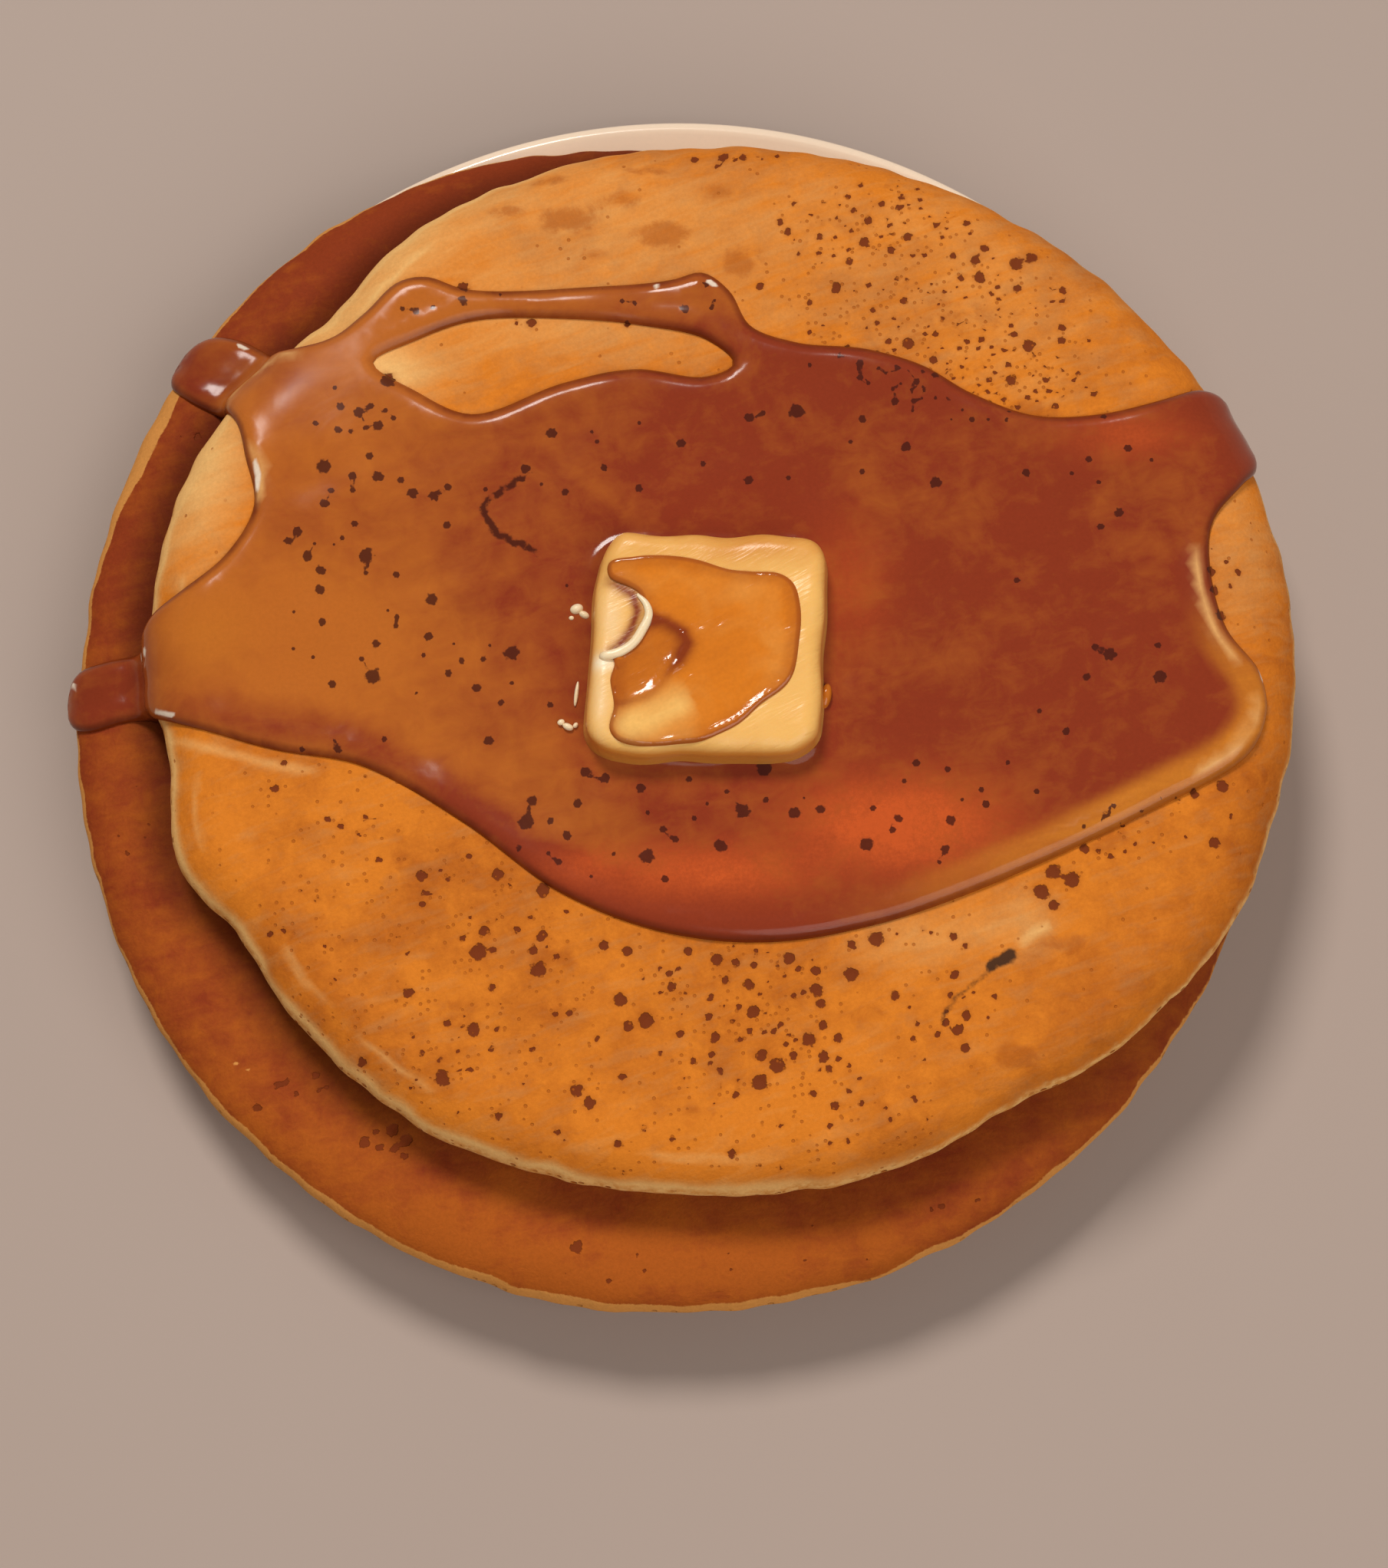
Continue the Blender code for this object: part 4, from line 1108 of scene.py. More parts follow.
def pored_rings(pancake, rings, pores, pore_depth):
    """A pancake's rings with its pores dented, their fields of pores and side, and the angle."""
    x, y, z, is_top = rings
    pore = pore_field(x, y, pores)
    z = z - np.where(is_top, pore_depth / MM * pore_dent(pore), 0.0)
    side = side_share(pancake, x, y, z)
    pore = np.maximum(pore, PORE_FAR * smooth_step(side, 0.35, 0.6))
    angle = np.degrees(np.arctan2(y - pancake.centre[1], x - pancake.centre[0])) % 360.0
    return x, y, z, {"pore": pore, "side": side}, angle


def add_pancake(name, pancake, points, fields, material, node):
    """A pancake's piece: its rings, closed by poles that lie beyond all pores."""
    poles = {"pore": PORE_FAR}
    fields = {
        key: with_poles(value, poles.get(key, 0.0), poles.get(key, 0.0))
        for key, value in fields.items()
    }
    x, y = np.array(pancake.centre)
    below = (x, y, float(pancake.underside(x, y)))
    above = (x, y, float(pancake.skin(x, y)))
    add_piece(name, rings_mesh(name, *points, below, above), material, [node], fields)


def make_upper(settings):
    """The upper pancake: rings with dented pores, and fields for its colours, one of them holding a
    painted highlight along the left edge.
    """
    pores = scatter_pores(PORE_CLUSTERS, SEED)
    rings = pancake_rings(UPPER, 54.0, 0.66)
    x, y, z, fields, angle = pored_rings(UPPER, rings, pores, settings.pore_depth)
    inward = UPPER.inward(x, y)
    # Partly painted highlight: cream lines along the left edge, where the light falls, over the
    # pale rim.
    left = smooth_step(angle, 95.0, 125.0) * smooth_step(angle, 300.0, 262.0)
    wavy = inward + 0.35 * ripples(x, y, 9.0, 21)
    line = 1.2 * bell(wavy, 0.75, 0.3)
    line += 0.45 * bell(wavy, 0.45, 4.0) * smooth_step(ripples(x, y, 22.0, 24), -0.2, 0.6)
    tone = 0.22 + 0.30 * blots(x, y, ((-35, -38, 26, 16, 1.0), (45, -45, 20, 12, 0.5)))
    tone -= 0.25 * blots(x, y, ((5, -62, 24, 7, 1.0), (48, 12, 8, 20, 0.4)))
    tone += 0.30 * smooth_step(inward, 12.0, 3.0) * smooth_step(angle, 290.0, 330.0)
    pale = left * line + blots(x, y, ((-66, 30, 7, 12, 1.0), (-41, 41, 8, 4, 1.0)))
    pale += blots(x, y, ((-17, 48, 24, 6, 0.30), (73, 16, 7, 10, 0.25)))
    pale += 0.5 * stroke(x, y, PALE_TAIL, 0.7) + 0.45 * stroke(x, y, PALE_STREAK, 0.7)
    # Partly painted highlight: paler along the upper-left edge.
    pale += 0.65 * smooth_step(inward, 9.0, 1.5) * bell(angle, 17.0, 134.0)
    pale += blots(x, y, ((-10, 62, 28, 10, 0.30), (40, 52, 22, 14, 0.16), (30, -35, 10, 4, 0.30),
                         (44, -33, 5, 4, 0.3)))
    charred = blots(x, y, [(*mark, 1.0) for mark in CHAR_MARKS])
    charred += 0.62 * stroke(x, y, CHAR_TRAIL, 0.6)
    dusty = [(a, b, 1.3 * c, 1.4 * d, 0.022 * count) for a, b, c, d, count, _ in PORE_CLUSTERS]
    dust = np.minimum(blots(x, y, dusty), 1.0)
    fields.update(tone=tone, pale=pale, smudge=blots(x, y, SMUDGES), charred=charred, dust=dust)
    add_pancake("pancake_upper_baked", UPPER, (x, y, z), fields, upper_crust_finish(settings),
                "pancake_upper")


def make_lower(settings):
    """The lower pancake: rings that are dense where it shows, and fields for its colours, with
    painted light and painted shade near the upper pancake's edge.
    """
    pores = scatter_pores(LOWER_PORE_CLUSTERS, SEED + 1)
    rings = pancake_rings(LOWER, 26.0, 0.7)
    x, y, z, fields, angle = pored_rings(LOWER, rings, pores, settings.pore_depth)
    inward = LOWER.inward(x, y)
    beside = -UPPER.inward(x, y)
    front = smooth_step(angle, 200.0, 235.0) * smooth_step(angle, 305.0, 262.0)
    # Partly painted light: the front next to the upper pancake and the front right are made lighter
    # where that pancake's shadow falls; the rest is the golden crust.
    lighter = 0.02 + front * (0.60 + 0.18 * smooth_step(beside, 4.0, 12.0))
    lighter += 0.40 * blots(x, y, ((-8, -76, 36, 4, 1.0), (-62, -42, 8, 14, 0.45)))
    lighter += 0.25 * smooth_step(angle, 160.0, 180.0) * smooth_step(angle, 225.0, 205.0)
    lighter += 0.45 * smooth_step(angle, 262.0, 290.0) * smooth_step(angle, 350.0, 330.0)
    # Painted shade beside the upper pancake's edge, strongest on the left.
    shade = smooth_step(beside, 7.0, 0.5) * (0.4 + 0.6 * smooth_step(angle, 255.0, 225.0))
    back_left = bell(angle, 9.0, 151.0)
    width = 0.45 + 1.9 * back_left + 0.4 * front + 0.25 * ripples(x, y, 15.0, 23)
    rim = smooth_step(inward, width + 0.5, width - 0.5) * smooth_step(angle, 348.0, 320.0)
    rim += blots(x, y, ((-59.0, -50.0, 0.7, 0.45, 0.9), (-57.5, -50.8, 0.5, 0.3, 0.7)))
    fields.update(lighter=lighter, shade=shade, rim=rim)
    add_pancake("pancake_lower_baked", LOWER, (x, y, z), fields, lower_crust_finish(settings),
                "pancake_lower")


# Syrup


class StackSkin:
    """The outer skin of the stack, unrolled along rays from the upper pancake's centre.

    A point of the flattened plan lies at an angle and a length about that centre, and the
    length is measured along the skin: over the top, round the shoulder, down the side,
    across what shows of the lower pancake and over its own edge.
    """

    def __init__(self):
        self.angles = np.linspace(-math.pi, math.pi, SKIN_ANGLES + 1)
        self.lengths = np.arange(0.0, SKIN_LENGTH, SKIN_STEP)
        self.radius = np.empty((len(self.angles), len(self.lengths)))
        self.height = np.empty_like(self.radius)
        edges = UPPER.edge_radius(self.angles)
        ends = self.lower_edge(self.angles)
        for row, angle in enumerate(self.angles):
            radius, height = self.ray(angle, edges[row], ends[row])
            steps = np.hypot(np.diff(radius), np.diff(height))
            length = np.concatenate([[0.0], np.cumsum(steps)])
            self.radius[row] = np.interp(self.lengths, length, radius)
            self.height[row] = np.interp(self.lengths, length, height)

    def ray(self, angle, edge, ledge_end):
        """Radius and height of the skin along one ray, densely: top, side, ledge and drop."""
        turn = np.linspace(0.0, 0.5 * math.pi, RAY_STEPS)
        flat = np.linspace(0.0, edge - SHOULDER, 4 * RAY_STEPS, endpoint=False)
        over = np.concatenate([flat, edge - SHOULDER * (1.0 - np.sin(turn))])
        over_height = UPPER.skin(*UPPER.plan(angle, over))
        foot = min(max(ledge_end - edge, HANGING_FOOT), RUN_FOOT)
        foot_height = float(LOWER.skin(*UPPER.plan(angle, edge + foot)))
        down = edge + foot * (1.0 - np.cos(turn[1:]))
        side_height = float(over_height[-1]) - foot_height
        down_height = foot_height + side_height * (1.0 - np.sin(turn[1:]))
        ledge = max(ledge_end - edge - foot, LEAST_LEDGE)
        out = edge + foot + ledge * np.sin(turn[1:])
        out_height = LOWER.skin(*UPPER.plan(angle, out))
        radius = np.concatenate([over, down, out, out[-1:]])
        end = out_height[-1:] - SKIN_DROP
        return radius, np.concatenate([over_height, down_height, out_height, end])

    def lower_edge(self, angle):
        """Length along each ray to the lower pancake's edge, by halving."""
        near = np.full_like(angle, 0.5 * LOWER_HALF_SIZE[0])
        far = 3.0 * near
        for _ in range(EDGE_HALVINGS):
            middle = 0.5 * (near + far)
            within = LOWER.inward(*UPPER.plan(angle, middle)) > 0.0
            near = np.where(within, middle, near)
            far = np.where(within, far, middle)
        return near

    def points(self, plan):
        """Points of the skin under points of the flattened plan."""
        across, along = plan[:, 0] - UPPER.centre[0], plan[:, 1] - UPPER.centre[1]
        angle, length = np.arctan2(along, across), np.hypot(across, along)
        row = (angle + math.pi) / math.tau * SKIN_ANGLES
        column = length / SKIN_STEP
        row_start = np.clip(row.astype(int), 0, SKIN_ANGLES - 1)
        column_start = np.clip(column.astype(int), 0, len(self.lengths) - 2)
        u, v = row - row_start, column - column_start
        radius, height = (
            (1 - u) * (1 - v) * table[row_start, column_start]
            + u * (1 - v) * table[row_start + 1, column_start]
            + (1 - u) * v * table[row_start, column_start + 1]
            + u * v * table[row_start + 1, column_start + 1]
            for table in (self.radius, self.height)
        )
        return np.stack([*UPPER.plan(angle, radius), height], axis=1)

    def normals(self, plan):
        """Directions out of the skin, from two short steps each way in the plan."""
        step_x, step_y = np.array([NORMAL_STEP, 0.0]), np.array([0.0, NORMAL_STEP])
        along_x = self.points(plan + step_x) - self.points(plan - step_x)
        along_y = self.points(plan + step_y) - self.points(plan - step_y)
        normal = np.cross(along_x, along_y)
        return normal / np.linalg.norm(normal, axis=1, keepdims=True)


def curve_piece(four, share):
    """Catmull-Rom curve between the middle two of four points, knots by root distance."""
    knots = [0.0]
    for a, b in zip(four, four[1:]):
        knots.append(knots[-1] + math.dist(a, b) ** 0.5)
    t = (knots[1] + (knots[2] - knots[1]) * share)[:, None]

    def blend(low, high, k, m):
        return ((knots[m] - t) * low + (t - knots[k]) * high) / (knots[m] - knots[k])

    first, second, third = (blend(four[k], four[k + 1], k, k + 1) for k in range(3))
    return blend(blend(first, second, 0, 2), blend(second, third, 1, 3), 1, 2)


def running_length(line):
    """Length from the start of a line to each of its points."""
    steps = np.linalg.norm(np.diff(line, axis=0), axis=1)
    return np.concatenate([[0.0], np.cumsum(steps)])


def points_at(line, lengths, targets):
    """Points of a line at some of its lengths."""
    return np.stack([np.interp(targets, lengths, line[:, axis]) for axis in (0, 1)], axis=1)


def smooth_loop(corners, spacing):
    """A closed smooth curve through the corners, as evenly spaced points."""
    corners = np.array(corners, dtype=float)
    count = len(corners)
    share = np.linspace(0.0, 1.0, 24, endpoint=False)
    fours = [corners[np.arange(index - 1, index + 3) % count] for index in range(count)]
    dense = np.vstack([curve_piece(four, share) for four in fours])
    closed = np.vstack([dense, dense[:1]])
    lengths = running_length(closed)
    steps = max(8, round(lengths[-1] / spacing))
    return points_at(closed, lengths, np.linspace(0.0, lengths[-1], steps, endpoint=False))


def smooth_open(corners, count):
    """An open smooth curve through the corners, as evenly spaced points."""
    corners = np.array(corners, dtype=float)
    padded = [2.0 * corners[0] - corners[1], *corners, 2.0 * corners[-1] - corners[-2]]
    share = np.linspace(0.0, 1.0, 16, endpoint=False)
    dense = [curve_piece(padded[k:k + 4], share) for k in range(len(corners) - 1)]
    dense = np.vstack([*dense, corners[-1:]])
    lengths = running_length(dense)
    return points_at(dense, lengths, np.linspace(0.0, lengths[-1], count))


def distance_to_loops(points, loops):
    """Distance from each point to the nearest segment of the loops."""
    nearest = np.full(len(points), np.inf)
    for loop in loops:
        for start, end in zip(loop, np.roll(loop, -1, axis=0)):
            side = end - start
            share = np.clip((points - start) @ side / (side @ side), 0.0, 1.0)
            away = points - start - share[:, None] * side
            nearest = np.minimum(nearest, away[:, 0] ** 2 + away[:, 1] ** 2)
    return np.sqrt(nearest)


def inside(points, loop):
    """Whether each point is inside a loop, by counting crossings to its right."""
    result = np.zeros(len(points), dtype=bool)
    for start, end in zip(loop, np.roll(loop, -1, axis=0)):
        if start[1] == end[1]:
            continue
        between = (start[1] > points[:, 1]) != (end[1] > points[:, 1])
        crossing = start[0] + (points[:, 1] - start[1]) * (end[0] - start[0]) / (end[1] - start[1])
        result ^= between & (points[:, 0] < crossing)
    return result


def in_region(points, outer, holes):
    """Whether each point is inside the outer loop and outside all holes."""
    result = inside(points, outer)
    for hole in holes:
        result &= ~inside(points, hole)
    return result


def triangle_grid(loop, spacing):
    """Points of a triangle grid over a loop's box."""
    low, high = loop.min(axis=0), loop.max(axis=0)
    rows = np.arange(low[1], high[1], spacing * math.sqrt(0.75))
    columns = np.arange(low[0], high[0], spacing)
    x, y = np.meshgrid(columns, rows)
    x = x + 0.5 * spacing * (np.arange(len(rows)) % 2)[:, None]
    return np.stack([x.ravel(), y.ravel()], axis=1)


def fill_region(outer, holes, rings, interior):
    """Triangles over a region with holes, from its loops, rings beside them and inner points."""
    loops = [outer, *holes]
    extra = [interior]
    for loop in loops:
        side = np.roll(loop, -1, axis=0) - np.roll(loop, 1, axis=0)
        sideways = np.stack([-side[:, 1], side[:, 0]], axis=1)
        sideways /= np.linalg.norm(sideways, axis=1, keepdims=True)
        for inset in rings:
            for direction in (-1.0, 1.0):
                candidate = loop + direction * inset * sideways
                clear = distance_to_loops(candidate, loops) > 0.8 * inset
                extra.append(candidate[clear])
    extra = np.vstack(extra)
    points = np.vstack([*loops, extra[in_region(extra, outer, holes)]])
    edges, start = [], 0
    for loop in loops:
        edges += [(start + k, start + (k + 1) % len(loop)) for k in range(len(loop))]
        start += len(loop)
    result = delaunay_2d_cdt([Vector(point) for point in points], edges, [], 0, 1e-6)
    points = np.array([tuple(point) for point in result[0]])
    triangles = np.array([tuple(face) for face in result[2]])
    centres = points[triangles].mean(axis=1)
    return points, triangles[in_region(centres, outer, holes)]


def sheet_mesh(name, triangles, bottom, top):
    """A closed body between two copies of one triangulated sheet."""
    count = len(bottom)
    sides = np.vstack([triangles[:, [0, 1]], triangles[:, [1, 2]], triangles[:, [2, 0]]])
    code = sides[:, 0].astype(np.int64) * count + sides[:, 1]
    reverse = sides[:, 1].astype(np.int64) * count + sides[:, 0]
    border = sides[~np.isin(reverse, code)]
    walls = np.hstack([border, border[:, ::-1] + count])
    faces = np.vstack([triangles + count, triangles[:, ::-1]])
    return build_mesh(name, np.vstack([bottom, top]), walls, faces)


def rounded_square(outward, arc_steps=10):
    """The butter's outline moved outward by some distance: four arcs and what joins them."""
    corners = np.array(BUTTER_CORNERS)
    after = np.roll(corners, -1, axis=0) - corners
    after /= np.linalg.norm(after, axis=1, keepdims=True)
    before = np.roll(after, 1, axis=0)
    arcs = []
    for corner, enter, leave in zip(corners, before, after):
        inner = leave - enter
        turn = math.atan2(enter[0] * leave[1] - enter[1] * leave[0], enter @ leave)
        reach = BUTTER_CORNER_RADIUS / math.cos(turn / 2.0)
        centre = corner + inner / np.linalg.norm(inner) * reach
        angle = math.atan2(-enter[0], enter[1]) + turn * np.arange(arc_steps + 1) / arc_steps
        direction = np.stack([np.cos(angle), np.sin(angle)], axis=1)
        arcs.append(centre + (BUTTER_CORNER_RADIUS + outward) * direction)
    points = []
    for arc, following in zip(arcs, arcs[1:] + arcs[:1]):
        share = np.arange(1, BUTTER_SIDE_STEPS)[:, None] / BUTTER_SIDE_STEPS
        points += [arc, arc[-1] + (following[0] - arc[-1]) * share]
    return np.vstack(points)


def syrup_fields(plan, edge, pores):
    """Fields of the syrup's colours over the flattened plan."""
    x, y = plan[:, 0], plan[:, 1]
    deep = 0.95 * smooth_step(x, -50.0, 2.0)
    deep -= blots(x, y, ((-22, 51, 26, 4.0, 0.6), (3, 50, 7, 5, 0.35), (-13, -17, 15, 8, 0.30),
                         (40, -20, 20, 5, 0.12), (-38, 45, 5, 4, 0.5)))
    deep += blots(x, y, ((-47, 20, 10, 5, 0.30), (-54, 41, 5, 6, 0.45), (-82, 0, 13, 8, 1.0),
                         (-72, 47, 9, 8, 1.0), (-24, 22, 6, 6, 0.25), (80, 34, 8, 9, 0.5)))
    deep += blots(x, y, ((-44, 26, 15, 10, 0.24), (-24, 10, 10, 8, 0.25), (-30, 24, 10, 8, 0.22)))
    deep += 0.75 * stroke(x, y, NEAR_BAND, 2.7)
    glow = blots(x, y, ((3, -27, 13, 3.4, 0.80), (28, -20.5, 12, 5.5, 1.20), (22, 12, 5, 9, 0.3),
                        (-13, -26, 5, 2.5, 0.4), (58, 32, 8, 3, 0.45)))
    right = smooth_step(x, 12.0, 60.0) * smooth_step(y, 12.0, -4.0)
    gold = right * smooth_step(edge, 5.5, 3.0) * 0.85 + 0.35 * blots(x, y, ((-63, 5, 6, 6, 1.0),))
    # Partly painted shade: the dark line along the border stands for the dark edge of the bead
    # where it bends the light.
    border = smooth_step(edge, 1.0, 0.4) * (1.0 - 0.5 * right)
    border += 0.45 * blots(x, y, ((-83, 0, 12, 7, 1.0), (-73, 48, 8, 6, 0.9), (78, 32, 5, 9, 0.5)))
    border *= 1.0 - 0.7 * blots(x, y, ((-40, 42, 8, 5, 1.0), (-10, 49, 14, 2, 0.7)))
    # Painted highlights: pale curves near the border and glints on its bead.
    shine = sum(stroke(x, y, path, 0.5) for path in SHINES)
    rough = 0.09 + 0.07 * smooth_step(edge, 5.0, 2.0) - 0.16 * blots(x, y, GLINTS)
    rough += blots(x, y, ((-51, 43, 11, 9, 0.36), (-25, -20, 10, 6, 0.06)))
    return {"deep": deep, "glow": glow, "gold": gold, "border": border,
            "vein": stroke(x, y, VEIN, 0.6), "pore": pore_field(x, y, pores),
            "shine": shine, "painted_glint": sum(stroke(x, y, path, 0.4) for path in PAINTED_GLINTS),
            "rough": np.maximum(rough, 0.035)}


def syrup_sheet(pores):
    """Points and triangles of the pool in the flattened plan, and distances from its borders.

    The points stand on the borders, on rings beside them, on a triangle grid and at the
    middle and round the border of each pore, so that the dark spots keep their shape.
    """
    outline = smooth_loop(SYRUP_OUTLINE, OUTLINE_SPACING)
    patch = smooth_loop(BARE_PATCH, OUTLINE_SPACING)
    butter = rounded_square(-0.2, 6)
    grid = triangle_grid(outline, SYRUP_SPACING)
    turns = around(6)
    circle = np.stack([np.cos(turns), np.sin(turns)], axis=1)
    middles, radii = pores
    borders = (middles[:, None, :] + circle[None] * radii[:, None, None]).reshape(-1, 2)
    inner = np.vstack([middles, borders])
    inner = inner[distance_to_loops(inner, [outline, patch, butter]) > SYRUP_CLEAR]
    away = distance_to_loops(grid, [outline, patch, butter]) > SYRUP_CLEAR
    clear = pore_field(grid[:, 0], grid[:, 1], pores) > 1.5
    inner = np.vstack([grid[away & clear], inner])
    plan, triangles = fill_region(outline, [patch, butter], SYRUP_RINGS, inner)
    edge = distance_to_loops(plan, [outline, patch])
    return plan, triangles, edge, distance_to_loops(plan, [butter])


def make_syrup(settings):
    """The pool and its runs, as a sheet over the stack's skin.

    Its height over the skin is a quarter circle of the distance from the border, times a
    depth, with a low ridge inside the border, a rise at the butter and slow ripples.
    """
    skin = StackSkin()
    pores = scatter_pores(PORE_CLUSTERS, SEED)
    plan, triangles, edge, at_butter = syrup_sheet(pores)
    fields = syrup_fields(plan, edge, pores)
    x, y = plan[:, 0], plan[:, 1]
    rise = quarter_round(edge / (settings.bead / MM))
    body = settings.depth / MM * (0.62 + 0.28 * np.clip(fields["deep"], 0.0, 1.0))
    body += 0.03 * ripples(x, y, 14.0, 9)
    ridge_height, ridge_middle, ridge_width = RIDGE
    thickness = rise * (body + ridge_height * bell(edge, ridge_width, ridge_middle))
    rise_height, rise_reach = BUTTER_RISE
    thickness = thickness + rise_height * np.exp(-at_butter / rise_reach)
    points, normals = skin.points(plan), skin.normals(plan)
    top = points + (SYRUP_LIFT + thickness)[:, None] * normals
    bottom = points - SYRUP_SUNK * normals
    over_lower = (UPPER.inward(points[:, 0], points[:, 1]) < 0.0)
    over_lower &= LOWER.inward(points[:, 0], points[:, 1]) > LEDGE_MARGIN
    ledge = LOWER.skin(points[:, 0], points[:, 1]) - SYRUP_SUNK
    bottom[:, 2] = np.where(over_lower, np.minimum(bottom[:, 2], ledge), bottom[:, 2])
    mesh = sheet_mesh("syrup_poured", triangles, bottom, top)
    doubled = {key: np.tile(value, 2) for key, value in fields.items()}
    add_piece("syrup_poured", mesh, syrup_finish(settings), ["syrup"], doubled)


# Butter


BUTTER_LEVEL = float(
    upper_base(*BUTTER_MIDDLE) + UPPER_THICKNESS + GAP
    + SWELL * swell(*BUTTER_MIDDLE, SWELL_LENGTH, 2.1)
)


def butter_foot(x, y):
    """The butter's foot, sunk a little into the upper pancake."""
    return upper_top(x, y) - BUTTER_SUNK


def butter_top(x, y):
    """Top of the butter, a little uneven where it has begun to melt."""
    uneven = BUTTER_SWELL * swell(x, y, BUTTER_SWELL_LENGTH, 1.0)
    return BUTTER_LEVEL + BUTTER_THICKNESS + uneven


def film_bed(edge, within=True):
    """Depth of the film's bed in the butter, from the distance to the film's border."""
    return np.where(within, FILM_BED * smooth_step(edge, 0.0, FILM_BED_WIDTH), 0.0)


def butter_surface(x, y):
    """Height of the butter's skin without its film's bed: its top, rounded down at its edge."""
    flat = np.stack([np.ravel(x), np.ravel(y)], axis=1)
    outline = rounded_square(0.0)
    inward = distance_to_loops(flat, [outline]) * inside(flat, outline)
    drop = BUTTER_EDGE_ROUND * (1.0 - quarter_round(inward / BUTTER_EDGE_ROUND))
    return butter_top(x, y) - drop.reshape(np.shape(x))


def warped(x, y):
    """Places moved a little sideways, so that straight sides become wavy."""
    return x + 0.32 * ripples(x, y, 10.0, 31), y + 0.42 * ripples(x, y, 10.0, 32)


def butter_rings(middle):
    """Arrays of the pat's rings, from its foot's middle out, round its edge and in over its top.

    Up the side the outline shrinks from the foot's spread, and at the upper edge it follows
    a quarter circle.
    """
    rings = []

    def add(outline, height):
        rings.append(np.column_stack([outline, height]))

    for share in (0.3, 0.6, 0.85, 1.0):
        outline = middle + (rounded_square(BUTTER_SPREAD) - middle) * share
        add(outline, butter_foot(*outline.T))
    low = rings[-1][:, 2]
    for share in np.linspace(0.0, 1.0, 9)[1:]:
        outline = rounded_square(BUTTER_SPREAD * (1.0 - share) ** 1.5)
        high = butter_top(*outline.T) - BUTTER_EDGE_ROUND
        add(outline, low + (high - low) * share)
    for turn in np.linspace(0.0, 0.5 * math.pi, 11)[1:]:
        edge = rounded_square(-BUTTER_EDGE_ROUND * (1.0 - math.cos(turn)))
        add(edge, butter_top(*edge.T) - BUTTER_EDGE_ROUND * (1.0 - math.sin(turn)))
    for share in np.linspace(1.0, 0.04, 62)[1:]:
        outline = middle + (edge - middle) * share
        add(outline, butter_top(*outline.T))
    return np.moveaxis(np.array(rings), -1, 0)


def make_butter(settings):
    """The pat, with the film's bed in its top, and fields for warm, white and dark places; the
    front's warmth and the dark places are painted shade.
    """
    middle = np.mean(BUTTER_CORNERS, axis=0)
    x, y, z = butter_rings(middle)
    below_top = np.clip((butter_top(x, y) - z) / BUTTER_THICKNESS, 0.0, 1.0)
    on_top = smooth_step(below_top, 0.30, 0.10)
    film = smooth_loop(FILM_OUTLINE, 0.6)
    flat = np.stack([x.ravel(), y.ravel()], axis=1)
    bed = film_bed(distance_to_loops(flat, [film]), inside(flat, film)).reshape(x.shape)
    z = z - on_top * (bed - 0.12 * ripples(x, y, 6.0, 33))
    # Painted shade: the front side is made warmer and darker.
    front = smooth_step(y, -9.0, -12.0)
    warm = (0.6 + 1.2 * front) * smooth_step(below_top, 0.04, 0.35)
    warm += on_top * 0.35 * smooth_step(y, 9.0, 16.0)
    warm += on_top * blots(x, y, ((8, 15.5, 7, 2.2, 0.55),))
    white = on_top * blots(x, y, ((-10.6, -0.2, 1.7, 1.2, 1.0), (-11.0, -5, 1.0, 5, 0.35),
                                  (-9.6, 5.5, 1.4, 4, 0.35)))
    # Painted shade: a dark line beside the curl at the notch, and a painted shadow at the pat's
    # foot.
    line = on_top * stroke(x + 1.0, y - 0.2, NOTCH, 0.75)
    line = np.maximum(line, smooth_step(below_top, 0.80, 1.0) * 0.7)
    fields = {
        "warm": with_poles(warm, 0.0, 0.0), "white": with_poles(white, 0.0, 0.0),
        "line": with_poles(line, 1.0, 0.0),
    }
    x, y = warped(x, y)
    below = (*middle, float(butter_foot(*middle)))
    above = (*middle, float(butter_top(*middle)) - FILM_BED)
    mesh = rings_mesh("butter_soft", x, y, z, below, above)
    add_piece("butter_soft", mesh, butter_finish(settings), ["butter_pat"], fields)


